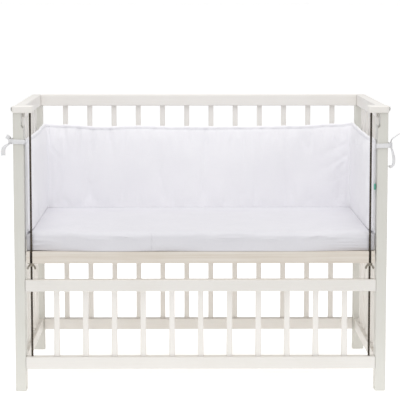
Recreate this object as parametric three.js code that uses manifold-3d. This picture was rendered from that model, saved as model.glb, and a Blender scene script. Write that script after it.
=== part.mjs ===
// A three-sided padded crib bumper on a bedside crib. The bumper is one long filled
// panel that stands behind the mattress edge along the left side, the back and the
// right side, and is tied round the two front posts. The fourth side of the crib is open.
// Millimetres, +Z up, origin on the floor in the middle of the whole, open side towards -Y.
import * as THREE from 'three';
import { mergeVertices } from 'three/addons/utils/BufferGeometryUtils.js';
import Module from 'manifold-3d';

const wasm = await Module();
wasm.setup();

// Crib timber
const HEIGHT = 760; // floor to the top of the rails
const INNER_WIDTH = 928; // between the side panels
const INNER_DEPTH = 565; // front of the posts to the front of the back panel
const TIMBER = 28; // thickness of posts and rails
const RAIL_HEIGHT = 33;
const RAIL_FROM_FLOOR = 60; // underside of the lowest rails
const FRONT_RAIL = { low: 269, high: 300 }; // rail across the open side
const FRONT_POST_DEPTH = 45;
const POST_RECESS = { depth: 7, low: 702, corner: 6 }; // in the inner face of each front post, up to its top
const BACK_POST_WIDTH = 33;
const SLAT = { narrow: 15, wide: 40, thick: 12 };
const SLAT_COUNT = { back: 12, side: 5, front: 11 };
const FRONT_SLAT_PITCH = 76.4;
const EDGE = 3; // rounding of the timber's long edges
const SLAT_EDGE = 2.5;
const BOARD_EDGE = 1;

// Height adjustment: a threaded rod at each front post, carrying the mattress base on a wing nut
const CAP = { inner: 439, outer: 495, front: -4, back: 47, thick: 18, corner: 9, bevel: 2 };
const ROD = { x: 448, y: 14, radius: 3, holeRadius: 3.4, sides: 12 };
const NUT = { washerRadius: 9, washerThick: 1.5, hubRadius: 5.5, hubHeight: 8.5, wingThick: 2.4, sides: 16 };
const WING = [
  // out: from the rod's axis, down: below the top of the nut
  { out: 0, down: 1.5 },
  { out: 5, down: 2.5 },
  { out: 8.5, down: 6 },
  { out: 11.5, down: 10.5 },
  { out: 12.5, down: 14 },
  { out: 11, down: 17 },
  { out: 8, down: 16.5 },
  { out: 6.5, down: 12.5 },
  { out: 5, down: 8.5 },
  { out: 0, down: 8.5 },
];
const BASE = { low: 344, high: 375, frontFace: 3, frontThick: 22, halfWidth: 461 };
const BASE_NOTCH = { width: 6.8, depth: 15.5 };
const BASE_PANEL_THICK = 12;
const LEDGER_DEPTH = 23;

// Mattress in its fitted sheet
const MATTRESS = { halfWidth: 454.5, front: 12, back: 555.5, cornerRadius: 24, innerCornerRadius: 8 };
const MATTRESS_EDGE = [
  // inset: drawn in from the widest outline, up: height over the underside
  { inset: 7, up: 0 },
  { inset: 1.5, up: 4 },
  { inset: 0, up: 14 },
  { inset: 0, up: 34 },
  { inset: 2, up: 42 },
  { inset: 6, up: 47.5 },
  { inset: 13, up: 50.5 },
  { inset: 26, up: 51.6 },
  { inset: 70, up: 53 },
  { inset: 150, up: 54.6 },
  { inset: 240, up: 55.4 },
];
const MATTRESS_STEPS = { corner: 6, long: 14, short: 8 };

// Bumper: outer face against the posts, lower edge tucked down beside the mattress
const BUMPER = { gap: 0.3, outerCorner: 28, frontEnd: 26, bottom: 414, endSeam: 1 };
const BUMPER_EDGE = [
  // from: distance from the upper or lower edge, back and front: the two faces, measured
  // into the crib from the plane of the posts. The row at 10 is the line of stitching.
  { from: 0, back: 4.5, front: 4.5 },
  { from: 3, back: 0.8, front: 8.2 },
  { from: 7, back: 0.8, front: 8.4 },
  { from: 10, back: 2.2, front: 6.4 },
  { from: 13.5, back: 0.6, front: 11.5 },
  { from: 22, back: 0, front: 15.8 },
  { from: 38, back: 0, front: 18.4 },
  { from: 78, back: 0, front: 19.7 },
  { from: 126, back: 0, front: 20 },
];
const BUMPER_RUN = [
  // at: along the bumper from its middle, left is negative; height: upper edge over the common
  // line of the lower edge; low: how far the lower edge hangs under that line; full: how well
  // the filling fills it there; bow: how far it stands off the slats
  { at: -990, height: 258, low: 10, full: 0.94, bow: 0 },
  { at: -890, height: 260, low: 6, full: 1.0, bow: 0 },
  { at: -700, height: 259, low: 2, full: 0.95, bow: 1.5 },
  { at: -545, height: 261, low: 0, full: 1.03, bow: 0.5 },
  { at: -458, height: 263, low: 0, full: 1.0, bow: 0 },
  { at: -400, height: 257.5, low: 0, full: 1.0, bow: 0.5 },
  { at: -290, height: 252, low: 0, full: 0.96, bow: 2 },
  { at: -150, height: 251, low: 0, full: 1.02, bow: 3 },
  { at: 0, height: 250, low: 0, full: 0.97, bow: 3.5 },
  { at: 150, height: 251.5, low: 0, full: 1.03, bow: 2.5 },
  { at: 290, height: 254, low: 0, full: 0.98, bow: 2 },
  { at: 400, height: 261, low: 0, full: 1.0, bow: 0.5 },
  { at: 458, height: 265.5, low: 0, full: 1.02, bow: 0 },
  { at: 545, height: 262, low: 0, full: 1.0, bow: 0.5 },
  { at: 700, height: 259, low: 0, full: 0.96, bow: 1.5 },
  { at: 890, height: 258, low: 0, full: 1.0, bow: 0 },
  { at: 990, height: 256.5, low: 0, full: 0.94, bow: 0 },
];
const BUMPER_END = [
  // from: distance from the front end, thick: share of the full thickness, drawn in towards the post,
  // drop and lift: how far the upper and lower edges turn in
  { from: 0, thick: 0.14, drop: 8, lift: 6 },
  { from: 3, thick: 0.4, drop: 4, lift: 3 },
  { from: 8, thick: 0.42, drop: 2, lift: 1.5 },
  { from: 12, thick: 0.3, drop: 1.2, lift: 1 },
  { from: 16, thick: 0.58, drop: 0.8, lift: 0.6 },
  { from: 26, thick: 0.8, drop: 0.3, lift: 0.3 },
  { from: 46, thick: 0.94, drop: 0, lift: 0 },
  { from: 80, thick: 1, drop: 0, lift: 0 },
];
const BUMPER_STEPS = { side: 13, corner: 7, back: 27 };

// Ties: a woven tape round each front post, knotted on the outer side
const TAPE = { width: 12, thick: 1.2 };
const TIE_KNOT = {
  x: 499.5,
  y: 14,
  wraps: [
    { radius: [5, 6.5, 8], lean: 0 },
    { radius: [4.2, 9, 5], lean: 38 },
  ],
};
const TIE_ROUND_POST = {
  // x: distance from the middle of the crib, y: behind the front of the posts,
  // up: height over the knot; front tape from the bumper's end, back tape from the knot
  front: [
    { x: 461.5, y: 25.2, up: -4 },
    { x: 461.2, y: 15, up: -3.8 },
    { x: 461.4, y: 5, up: -2 },
    { x: 465, y: -2.9, up: -1 },
    { x: 478, y: -3.2, up: -0.5 },
    { x: 490, y: -3, up: 0 },
    { x: 495.2, y: 1.5, up: 0 },
    { x: 497, y: 8, up: 0 },
    { x: 499, y: 14, up: 0 },
  ],
  back: [
    { x: 499, y: 14, up: 0 },
    { x: 497, y: 24, up: 0 },
    { x: 496, y: 38, up: 1 },
    { x: 493.5, y: 48, up: 1 },
    { x: 482, y: 49.5, up: 0 },
    { x: 465.4, y: 49.5, up: -2 },
  ],
};
const TIE_ENDS = {
  // out: away from the post, fwd: towards the open side, up: height over the knot,
  // turn: degrees that the tape is turned about its own line from lying edge forward
  left: {
    knotHeight: 667,
    tails: [
      [
        { out: 0, fwd: 2, up: -3, turn: 20 },
        { out: 6, fwd: 5, up: -9, turn: 30 },
        { out: 12, fwd: 6, up: -12.5, turn: 45 },
        { out: 17, fwd: 6, up: -18, turn: 65 },
        { out: 19, fwd: 5, up: -27, turn: 80 },
        { out: 18.5, fwd: 4, up: -37, turn: 85 },
      ],
      [
        { out: 0, fwd: 1, up: 3, turn: 50 },
        { out: 3, fwd: 4, up: 8, turn: 60 },
        { out: 7, fwd: 5, up: 12, turn: 65 },
        { out: 11, fwd: 5, up: 14, turn: 70 },
      ],
    ],
  },
  right: {
    knotHeight: 656,
    tails: [
      [
        { out: 0, fwd: 2, up: -3, turn: 15 },
        { out: 4.5, fwd: 4, up: -14, turn: 20 },
        { out: 7.5, fwd: 5, up: -27, turn: 25 },
        { out: 9, fwd: 5, up: -41, turn: 30 },
        { out: 6.5, fwd: 5, up: -53, turn: 30 },
        { out: 1, fwd: 5, up: -58, turn: 25 },
        { out: -3, fwd: 5, up: -53, turn: 20 },
      ],
      [
        { out: 0, fwd: 1, up: 3, turn: 10 },
        { out: 1, fwd: 3, up: 11, turn: 10 },
        { out: 5, fwd: 4, up: 18, turn: 10 },
        { out: 12, fwd: 5, up: 23, turn: 10 },
        { out: 24, fwd: 6, up: 32, turn: 10 },
      ],
    ],
  },
};
const TAPE_SECTIONS = 3; // cross-sections between two rows of the tables

// Blank tab sewn into the front end of the right-hand side: a ribbon folded to a loop, seen from
// above, with its two ends in the seam
const TAB = { low: 538, high: 553 };
const TAB_LOOP = [
  { x: 462.2, y: 25.7 },
  { x: 462.6, y: 20 },
  { x: 462.5, y: 16.5 },
  { x: 461.6, y: 14.4 },
  { x: 459.8, y: 13.7 },
  { x: 458, y: 14.5 },
  { x: 457.2, y: 16.5 },
  { x: 457.7, y: 19.5 },
  { x: 460.8, y: 25.7 },
];

const FIT = 0.3; // gap left between pieces that meet

const INNER = INNER_WIDTH / 2;
const OUTER = INNER + TIMBER;
const DEPTH = INNER_DEPTH + TIMBER;
const RAIL_UNDER = HEIGHT - RAIL_HEIGHT;
const LOW_RAIL_TOP = RAIL_FROM_FLOOR + RAIL_HEIGHT;
const CAP_UNDER = HEIGHT - CAP.thick;

const finish = (color, roughness, metalness = 0) =>
  new THREE.MeshStandardMaterial({ color, roughness, metalness });
const PAINT = finish(0xe3e1d9, 0.5);
const BARE_WOOD = finish(0xdccbb0, 0.6);
const STEEL = finish(0x3b342e, 0.45, 0.8);
const COTTON = finish(0xeeeef3, 0.9);
const SHEET = finish(0xeceaf0, 0.9);
const TAPE_CLOTH = finish(0xe9e8ee, 0.85);
const TAB_CLOTH = finish(0x4fae98, 0.8);

const crib = new THREE.Group();

function add(name, geometry, material) {
  const mesh = new THREE.Mesh(geometry, material);
  mesh.name = name;
  crib.add(mesh);
  return mesh;
}

// A rectangle about the origin with rounded corners.
function roundedRectangle(width, depth, radius) {
  const x = width / 2 - radius;
  const y = depth / 2 - radius;
  const quarter = Math.PI / 2;
  return new THREE.Shape()
    .absarc(x, y, radius, 0, quarter)
    .absarc(-x, y, radius, quarter, 2 * quarter)
    .absarc(-x, -y, radius, 2 * quarter, 3 * quarter)
    .absarc(x, -y, radius, 3 * quarter, 4 * quarter);
}

// A straight timber filling the box between two corners, long edges rounded, grain along one axis.
function addTimber(name, low, high, grain, edge = EDGE, material = PAINT) {
  const size = high.map((value, i) => value - low[i]);
  const middle = high.map((value, i) => (value + low[i]) / 2);
  const [wide, deep, long] = {
    x: [size[2], size[1], size[0]],
    y: [size[0], size[2], size[1]],
    z: [size[0], size[1], size[2]],
  }[grain];
  const geometry = new THREE.ExtrudeGeometry(roundedRectangle(wide, deep, edge), {
    depth: long,
    bevelEnabled: false,
    curveSegments: 1,
  });
  const mesh = add(name, geometry, material);
  mesh.position.set(...middle);
  mesh.position[grain] = low['xyz'.indexOf(grain)];
  if (grain === 'x') mesh.rotation.y = Math.PI / 2;
  if (grain === 'y') mesh.rotation.x = -Math.PI / 2;
  return mesh;
}

// Box limits on the left (-1) or right (+1) of the crib, from distances to its middle.
const sided = (side, inner, outer) => (side < 0 ? [-outer, -inner] : [inner, outer]);

// A closed solid through rings of equally many points, its two ends filled from their middles.
function loft(rings) {
  const count = rings[0].length;
  const points = rings.flat();
  const index = [];
  for (let r = 0; r + 1 < rings.length; r++) {
    for (let i = 0; i < count; i++) {
      const a = r * count + i;
      const b = r * count + ((i + 1) % count);
      index.push(a, b, b + count, a, b + count, a + count);
    }
  }
  const ends = [
    { ring: 0, flip: true },
    { ring: rings.length - 1, flip: false },
  ];
  for (const { ring, flip } of ends) {
    const hub = points.length;
    const sum = rings[ring].reduce((total, p) => total.add(p), new THREE.Vector3());
    points.push(sum.divideScalar(count));
    for (let i = 0; i < count; i++) {
      const a = ring * count + i;
      const b = ring * count + ((i + 1) % count);
      index.push(...(flip ? [b, a, hub] : [a, b, hub]));
    }
  }
  const geometry = new THREE.BufferGeometry().setFromPoints(points);
  geometry.setIndex(index);
  return geometry;
}

// A closed three.js mesh as a solid for joining and cutting, turned the right way out.
function solid(geometry) {
  const bare = geometry.clone();
  bare.deleteAttribute('normal');
  bare.deleteAttribute('uv');
  const merged = mergeVertices(bare, 1e-3);
  const faces = new Uint32Array(merged.index.array);
  const make = (triVerts) =>
    new wasm.Manifold(
      new wasm.Mesh({ numProp: 3, vertProperties: merged.attributes.position.array, triVerts }),
    );
  const made = make(faces);
  return made.volume() > 0 ? made : make(faces.reverse());
}

function geometryOf(body) {
  const { vertProperties, triVerts } = body.getMesh();
  const geometry = new THREE.BufferGeometry();
  geometry.setAttribute('position', new THREE.BufferAttribute(vertProperties, 3));
  geometry.setIndex(new THREE.BufferAttribute(triVerts, 1));
  geometry.computeVertexNormals();
  return geometry;
}

// The same solid with its faces pointing out.
const outward = (geometry) => geometryOf(solid(geometry));

// One column of a table at a place between its rows, eased from row to row.
function eased(rows, key, column, at) {
  const next = rows.findIndex((row) => row[key] >= at);
  if (next === 0) return rows[0][column];
  if (next < 0) return rows.at(-1)[column];
  const before = rows[next - 1];
  const share = (at - before[key]) / (rows[next][key] - before[key]);
  return THREE.MathUtils.lerp(before[column], rows[next][column], THREE.MathUtils.smoothstep(share, 0, 1));
}

// Equal steps from one value to another, the first left out.
const steps = (from, to, count) =>
  Array.from({ length: count }, (_, i) => from + ((to - from) * (i + 1)) / count);

function addPosts() {
  for (const [hand, side] of [['left', -1], ['right', 1]]) {
    add(`post_front_${hand}`, frontPost(side), PAINT);
    const back = sided(side, OUTER - BACK_POST_WIDTH, OUTER);
    addTimber(`post_back_${hand}`, [back[0], INNER_DEPTH, 0], [back[1], DEPTH, RAIL_UNDER - FIT], 'z');
  }
}

// Front post on the left (-1) or right (+1), with the recess cut from its inner face.
function frontPost(side) {
  const bar = new THREE.ExtrudeGeometry(roundedRectangle(TIMBER, FRONT_POST_DEPTH, EDGE), {
    depth: CAP_UNDER - FIT,
    bevelEnabled: false,
    curveSegments: 1,
  }).translate(INNER + TIMBER / 2, FRONT_POST_DEPTH / 2, 0);
  const { depth, low, corner } = POST_RECESS;
  const wall = INNER + depth;
  const outline = new THREE.Shape()
    .moveTo(INNER - depth, low)
    .absarc(wall - corner, low + corner, corner, -Math.PI / 2, 0)
    .lineTo(wall, HEIGHT)
    .lineTo(INNER - depth, HEIGHT);
  const recess = new THREE.ExtrudeGeometry(outline, {
    depth: 2 * FRONT_POST_DEPTH,
    bevelEnabled: false,
    curveSegments: 3,
  })
    .rotateX(Math.PI / 2)
    .translate(0, 1.5 * FRONT_POST_DEPTH, 0);
  const [post, cut] = [bar, recess].map((geometry) => solid(geometry.scale(side, 1, 1)));
  return geometryOf(post.subtract(cut));
}

function addRails() {
  const acrossTop = INNER - FIT;
  const acrossBack = OUTER - BACK_POST_WIDTH - FIT;
  addTimber('rail_top_back', [-acrossTop, INNER_DEPTH, RAIL_UNDER], [acrossTop, DEPTH, HEIGHT], 'x');
  addTimber(
    'rail_low_back',
    [-acrossBack, INNER_DEPTH, RAIL_FROM_FLOOR],
    [acrossBack, DEPTH, LOW_RAIL_TOP],
    'x',
  );
  addTimber('rail_low_front', [-acrossTop, 0, RAIL_FROM_FLOOR], [acrossTop, TIMBER, LOW_RAIL_TOP], 'x');
  for (const [hand, side] of [['left', -1], ['right', 1]]) {
    const [low, high] = sided(side, INNER, OUTER);
    addTimber(`rail_top_${hand}`, [low, CAP.back + FIT, RAIL_UNDER], [high, DEPTH, HEIGHT], 'y');
    addTimber(
      `rail_low_${hand}`,
      [low, FRONT_POST_DEPTH + FIT, RAIL_FROM_FLOOR],
      [high, INNER_DEPTH - FIT, LOW_RAIL_TOP],
      'y',
    );
  }
  addFrontRail(acrossTop);
}

// Rail across the open side, bored upright for the two rods.
function addFrontRail(halfLength) {
  const height = FRONT_RAIL.high - FRONT_RAIL.low;
  const bar = new THREE.ExtrudeGeometry(roundedRectangle(height, TIMBER, EDGE), {
    depth: 2 * halfLength,
    bevelEnabled: false,
    curveSegments: 1,
  })
    .translate(0, 0, -halfLength)
    .rotateY(Math.PI / 2);
  let rail = solid(bar);
  for (const side of [-1, 1]) {
    const bore = new THREE.CylinderGeometry(ROD.holeRadius, ROD.holeRadius, 2 * height, ROD.sides)
      .rotateX(Math.PI / 2)
      .translate(side * ROD.x, ROD.y - TIMBER / 2, 0);
    rail = rail.subtract(solid(bore));
  }
  const mesh = add('rail_front', geometryOf(rail), PAINT);
  mesh.position.set(0, TIMBER / 2, (FRONT_RAIL.low + FRONT_RAIL.high) / 2);
}

function addSlats() {
  const low = LOW_RAIL_TOP + FIT;
  const high = RAIL_UNDER - FIT;
  const middle = TIMBER / 2;
  const half = { narrow: SLAT.narrow / 2, wide: SLAT.wide / 2, thick: SLAT.thick / 2 };
  const number = (i) => String(i + 1).padStart(2, '0');

  const backPitch = INNER_WIDTH / (SLAT_COUNT.back + 1);
  for (let i = 0; i < SLAT_COUNT.back; i++) {
    const x = -INNER + backPitch * (i + 1);
    const y = INNER_DEPTH + middle;
    addTimber(
      `slat_back_${number(i)}`,
      [x - half.narrow, y - half.thick, low],
      [x + half.narrow, y + half.thick, high],
      'z',
      SLAT_EDGE,
    );
  }
  for (let i = 0; i < SLAT_COUNT.front; i++) {
    const x = FRONT_SLAT_PITCH * (i - (SLAT_COUNT.front - 1) / 2);
    addTimber(
      `slat_front_${number(i)}`,
      [x - half.narrow, middle - half.thick, low],
      [x + half.narrow, middle + half.thick, FRONT_RAIL.low - FIT],
      'z',
      SLAT_EDGE,
    );
  }
  const clear = INNER_DEPTH - FRONT_POST_DEPTH - SLAT_COUNT.side * SLAT.wide;
  const sideGap = clear / (SLAT_COUNT.side + 1);
  for (const [hand, side] of [['left', -1], ['right', 1]]) {
    for (let i = 0; i < SLAT_COUNT.side; i++) {
      const x = side * (INNER + middle);
      const y = FRONT_POST_DEPTH + sideGap * (i + 1) + SLAT.wide * (i + 0.5);
      addTimber(
        `slat_${hand}_${number(i)}`,
        [x - half.thick, y - half.wide, low],
        [x + half.thick, y + half.wide, high],
        'z',
        SLAT_EDGE,
      );
    }
  }
}

// Flat block on top of each front post, reaching inwards to hold the head of the rod.
function addCaps() {
  const outline = roundedRectangle(CAP.outer - CAP.inner, CAP.back - CAP.front, CAP.corner);
  for (const [hand, side] of [['left', -1], ['right', 1]]) {
    const geometry = new THREE.ExtrudeGeometry(outline, {
      depth: CAP.thick - 2 * CAP.bevel,
      bevelThickness: CAP.bevel,
      bevelSize: CAP.bevel,
      bevelOffset: -CAP.bevel,
      bevelSegments: 1,
      curveSegments: 2,
    });
    const mesh = add(`cap_${hand}`, geometry, PAINT);
    const middle = { x: (CAP.inner + CAP.outer) / 2, y: (CAP.front + CAP.back) / 2 };
    mesh.position.set(side * middle.x, middle.y, CAP_UNDER + CAP.bevel);
  }
}

function addRods() {
  const low = LOW_RAIL_TOP + FIT;
  const length = CAP_UNDER - FIT - low;
  for (const [hand, side] of [['left', -1], ['right', 1]]) {
    const rod = new THREE.CylinderGeometry(ROD.radius, ROD.radius, length, ROD.sides);
    const mesh = add(`rod_${hand}`, rod, STEEL);
    mesh.rotation.x = Math.PI / 2;
    mesh.position.set(side * ROD.x, ROD.y, low + length / 2);
    const nut = add(`wing_nut_${hand}`, wingNut(), STEEL);
    nut.position.set(side * ROD.x, ROD.y, BASE.low - FIT);
  }
}

// Wing nut and washer, top face at the origin, bored for the rod.
function wingNut() {
  const disc = (radius, height, top) =>
    new THREE.CylinderGeometry(radius, radius, height, NUT.sides)
      .rotateX(Math.PI / 2)
      .translate(0, 0, top - height / 2);
  let nut = solid(disc(NUT.washerRadius, NUT.washerThick, 0));
  nut = nut.add(solid(disc(NUT.hubRadius, NUT.hubHeight, 0)));
  const wing = new THREE.Shape(WING.map(({ out, down }) => new THREE.Vector2(out, -down)));
  for (const turn of [0, Math.PI]) {
    const blade = new THREE.ExtrudeGeometry(wing, { depth: NUT.wingThick, bevelEnabled: false })
      .translate(0, 0, -NUT.wingThick / 2)
      .rotateX(Math.PI / 2)
      .rotateZ(turn);
    nut = nut.add(solid(blade));
  }
  return geometryOf(nut.subtract(solid(disc(ROD.holeRadius, 4 * NUT.hubHeight, 2 * NUT.hubHeight))));
}

// Mattress base: bare front board notched for the rods, a panel behind it and a ledger at the back.
function addBase() {
  const { halfWidth, frontThick } = BASE;
  const half = BASE_NOTCH.width / 2;
  const board = new THREE.Shape().moveTo(-halfWidth, 0);
  for (const side of [-1, 1]) {
    const x = side * ROD.x;
    board
      .lineTo(x - half, 0)
      .lineTo(x - half, BASE_NOTCH.depth)
      .lineTo(x + half, BASE_NOTCH.depth)
      .lineTo(x + half, 0);
  }
  board.lineTo(halfWidth, 0).lineTo(halfWidth, frontThick).lineTo(-halfWidth, frontThick);
  const front = add(
    'base_front',
    new THREE.ExtrudeGeometry(board, { depth: BASE.high - BASE.low, bevelEnabled: false }),
    BARE_WOOD,
  );
  front.position.set(0, BASE.frontFace, BASE.low);

  const panelUnder = BASE.high - BASE_PANEL_THICK;
  const panelFront = BASE.frontFace + frontThick + FIT;
  const back = INNER_DEPTH - FIT;
  const panelHalf = halfWidth - FIT;
  addTimber(
    'base_panel',
    [-panelHalf, panelFront, panelUnder],
    [panelHalf, back, BASE.high],
    'x',
    BOARD_EDGE,
    BARE_WOOD,
  );
  addTimber(
    'base_ledger',
    [-INNER + FIT, back - LEDGER_DEPTH, BASE.low],
    [INNER - FIT, back, panelUnder - FIT],
    'x',
    BOARD_EDGE,
    BARE_WOOD,
  );
}

// Outline of the mattress drawn in by an inset, as a ring of points at one height.
function mattressRing(inset, z) {
  const x = MATTRESS.halfWidth - inset;
  const y = (MATTRESS.back - MATTRESS.front) / 2 - inset;
  const radius = Math.max(MATTRESS.cornerRadius - inset, MATTRESS.innerCornerRadius);
  const signs = [[1, 1], [-1, 1], [-1, -1], [1, -1]];
  const corners = signs.map(([sx, sy], turn) =>
    steps(-1, MATTRESS_STEPS.corner, MATTRESS_STEPS.corner + 1).map((step) => {
      const angle = (Math.PI / 2) * (turn + step / MATTRESS_STEPS.corner);
      const reach = [radius * Math.cos(angle), radius * Math.sin(angle)];
      return new THREE.Vector3(sx * (x - radius) + reach[0], sy * (y - radius) + reach[1], z);
    }),
  );
  return corners.flatMap((corner, i) => {
    const next = corners[(i + 1) % corners.length][0];
    const shares = steps(0, 1, i % 2 ? MATTRESS_STEPS.short : MATTRESS_STEPS.long).slice(0, -1);
    return [...corner, ...shares.map((share) => corner.at(-1).clone().lerp(next, share))];
  });
}

function addMattress() {
  const geometry = loft(MATTRESS_EDGE.map(({ inset, up }) => mattressRing(inset, up)));
  const mesh = add('mattress', outward(geometry), SHEET);
  mesh.position.set(0, (MATTRESS.front + MATTRESS.back) / 2, BASE.high + FIT);
}

const WALL = { x: INNER - BUMPER.gap, y: INNER_DEPTH - BUMPER.gap };
const SIDE_RUN = WALL.y - BUMPER.outerCorner - BUMPER.frontEnd;
const CORNER_RUN = (BUMPER.outerCorner * Math.PI) / 2;
const BACK_RUN = 2 * (WALL.x - BUMPER.outerCorner);
const BUMPER_LENGTH = 2 * (SIDE_RUN + CORNER_RUN) + BACK_RUN;

// A place on the bumper's outer face, seen from above, and the direction into the crib there.
// Measured from the front end on the left.
function bumperWall(along) {
  if (along > BUMPER_LENGTH / 2) {
    const { point, inward } = bumperWall(BUMPER_LENGTH - along);
    return { point: point.set(-point.x, point.y), inward: inward.set(-inward.x, inward.y) };
  }
  const radius = BUMPER.outerCorner;
  const intoSide = Math.min(along, SIDE_RUN);
  const turned = THREE.MathUtils.clamp((along - SIDE_RUN) / radius, 0, Math.PI / 2);
  const intoBack = Math.max(along - SIDE_RUN - CORNER_RUN, 0);
  const point = new THREE.Vector2(
    -WALL.x + radius * (1 - Math.cos(turned)) + intoBack,
    BUMPER.frontEnd + intoSide + radius * Math.sin(turned),
  );
  return { point, inward: new THREE.Vector2(Math.cos(turned), -Math.sin(turned)) };
}

// Cross-section of the bumper at one place along it, from its lower edge up the inner face
// to the upper edge and down the outer face.
function bumperRing(along) {
  const run = (column) => eased(BUMPER_RUN, 'at', column, along - BUMPER_LENGTH / 2);
  const end = (column) => eased(BUMPER_END, 'from', column, Math.min(along, BUMPER_LENGTH - along));
  const low = BUMPER.bottom - run('low') + end('lift');
  const high = BUMPER.bottom + run('height') - end('drop');
  const middle = BUMPER_EDGE.at(-1).from;
  const stitching = BUMPER_EDGE[3].from;
  const { point, inward } = bumperWall(along);

  const place = (row, face, upper) => {
    const full = face === 'front' && row.from > stitching ? run('full') : 1;
    const drawnTo = face === 'front' ? BUMPER.endSeam : 0;
    const bow = run('bow') * Math.sin((Math.PI / 2) * (row.from / middle));
    const depth = THREE.MathUtils.lerp(drawnTo, row[face] * full, end('thick')) + bow;
    const from = row.from === middle ? (high - low) / 2 : row.from;
    const z = upper ? high - from : low + from;
    return new THREE.Vector3(point.x + inward.x * depth, point.y + inward.y * depth, z);
  };
  const inside = BUMPER_EDGE.slice(1, -1);
  const [edge, centre] = [BUMPER_EDGE[0], BUMPER_EDGE.at(-1)];
  return [
    place(edge, 'front', false),
    ...inside.map((row) => place(row, 'front', false)),
    place(centre, 'front', false),
    ...inside.toReversed().map((row) => place(row, 'front', true)),
    place(edge, 'front', true),
    ...inside.map((row) => place(row, 'back', true)),
    place(centre, 'back', true),
    ...inside.toReversed().map((row) => place(row, 'back', false)),
  ];
}

function addBumper() {
  const ends = BUMPER_END.map((row) => row.from);
  const half = [
    ...ends,
    ...steps(ends.at(-1), SIDE_RUN, BUMPER_STEPS.side),
    ...steps(SIDE_RUN, SIDE_RUN + CORNER_RUN, BUMPER_STEPS.corner),
  ];
  const back = steps(half.at(-1), BUMPER_LENGTH - half.at(-1), BUMPER_STEPS.back).slice(0, -1);
  const stations = [...half, ...back, ...half.toReversed().map((along) => BUMPER_LENGTH - along)];
  add('bumper', outward(loft(stations.map(bumperRing))), COTTON);
}

// A strip of tape through a row of points. Its width lies along the given direction, turned
// about the strip's own line by each row's angle.
function tape(rows, widthwise) {
  const curve = new THREE.CatmullRomCurve3(rows.map((row) => row.point));
  const sections = (rows.length - 1) * TAPE_SECTIONS;
  const rings = [0, ...steps(0, 1, sections)].map((share) => {
    const place = share * (rows.length - 1);
    const row = Math.min(Math.floor(place), rows.length - 2);
    const turn = THREE.MathUtils.degToRad(
      THREE.MathUtils.lerp(rows[row].turn, rows[row + 1].turn, place - row),
    );
    const tangent = curve.getTangent(share);
    const across = widthwise.clone().projectOnPlane(tangent).normalize().applyAxisAngle(tangent, turn);
    const through = tangent.clone().cross(across).multiplyScalar(TAPE.thick / 2);
    across.multiplyScalar(TAPE.width / 2);
    const centre = curve.getPoint(share);
    return [
      centre.clone().sub(across).sub(through),
      centre.clone().add(across).sub(through),
      centre.clone().add(across).add(through),
      centre.clone().sub(across).add(through),
    ];
  });
  return solid(loft(rings));
}

function addTies() {
  const upright = new THREE.Vector3(0, 0, 1);
  const forward = new THREE.Vector3(0, -1, 0);
  for (const [hand, side] of [['left', -1], ['right', 1]]) {
    const { knotHeight, tails } = TIE_ENDS[hand];
    const bands = Object.values(TIE_ROUND_POST).map((rows) =>
      tape(
        rows.map(({ x, y, up }) => ({ point: new THREE.Vector3(side * x, y, knotHeight + up), turn: 0 })),
        upright,
      ),
    );
    const ends = tails.map((rows) =>
      tape(
        rows.map(({ out, fwd, up, turn }) => ({
          point: new THREE.Vector3(side * (TIE_KNOT.x + out), TIE_KNOT.y - fwd, knotHeight + up),
          turn: side * turn,
        })),
        forward,
      ),
    );
    const wraps = TIE_KNOT.wraps.map(({ radius, lean }) => {
      const ball = new THREE.SphereGeometry(1, 12, 8).scale(...radius);
      ball.rotateX(THREE.MathUtils.degToRad(lean));
      return solid(ball.translate(side * TIE_KNOT.x, TIE_KNOT.y, knotHeight));
    });
    const tie = [...bands, ...ends, ...wraps].reduce((whole, piece) => whole.add(piece));
    add(`tie_${hand}`, geometryOf(tie), TAPE_CLOTH);
  }
}

function addTab() {
  const loop = new THREE.Shape(TAB_LOOP.map(({ x, y }) => new THREE.Vector2(x, y)));
  const geometry = new THREE.ExtrudeGeometry(loop, { depth: TAB.high - TAB.low, bevelEnabled: false });
  add('sewn_tab', geometry, TAB_CLOTH).position.z = TAB.low;
}

addPosts();
addRails();
addSlats();
addCaps();
addRods();
addBase();
addMattress();
addBumper();
addTies();
addTab();

crib.position.y = -(CAP.front + DEPTH) / 2;
const part = new THREE.Group();
part.add(crib);

export default part;
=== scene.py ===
"""A padded crib bumper on its bedside crib, dressed for a plain studio picture.

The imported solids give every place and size. The timber, the mattress base and the wing nuts
keep their solids and get their finishes here. The bumper, the mattress in its fitted sheet,
the tapes that tie the bumper, the sewn tab and the threaded rods are modelled anew in the
same places, with the stitching and the bolts that the solids leave out.
"""
import logging
import math
from dataclasses import dataclass
from enum import Enum
from typing import NamedTuple, Sequence

import bmesh
import bpy
import numpy as np
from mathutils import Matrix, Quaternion, Vector


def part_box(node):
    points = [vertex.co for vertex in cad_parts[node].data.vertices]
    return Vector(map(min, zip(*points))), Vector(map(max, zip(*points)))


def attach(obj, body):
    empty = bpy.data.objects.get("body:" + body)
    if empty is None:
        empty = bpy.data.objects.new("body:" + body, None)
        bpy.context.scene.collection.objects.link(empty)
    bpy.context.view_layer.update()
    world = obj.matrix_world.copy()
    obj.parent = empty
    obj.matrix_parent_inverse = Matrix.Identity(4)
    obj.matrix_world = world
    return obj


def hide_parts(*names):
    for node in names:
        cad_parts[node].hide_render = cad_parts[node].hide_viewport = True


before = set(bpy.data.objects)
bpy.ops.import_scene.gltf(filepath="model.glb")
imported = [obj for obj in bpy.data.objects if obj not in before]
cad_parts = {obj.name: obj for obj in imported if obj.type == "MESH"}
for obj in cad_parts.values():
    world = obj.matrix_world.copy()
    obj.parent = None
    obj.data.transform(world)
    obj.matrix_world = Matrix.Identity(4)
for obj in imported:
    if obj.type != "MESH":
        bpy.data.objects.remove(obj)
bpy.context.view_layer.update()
BODY = "root"
MM = 0.001
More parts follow.
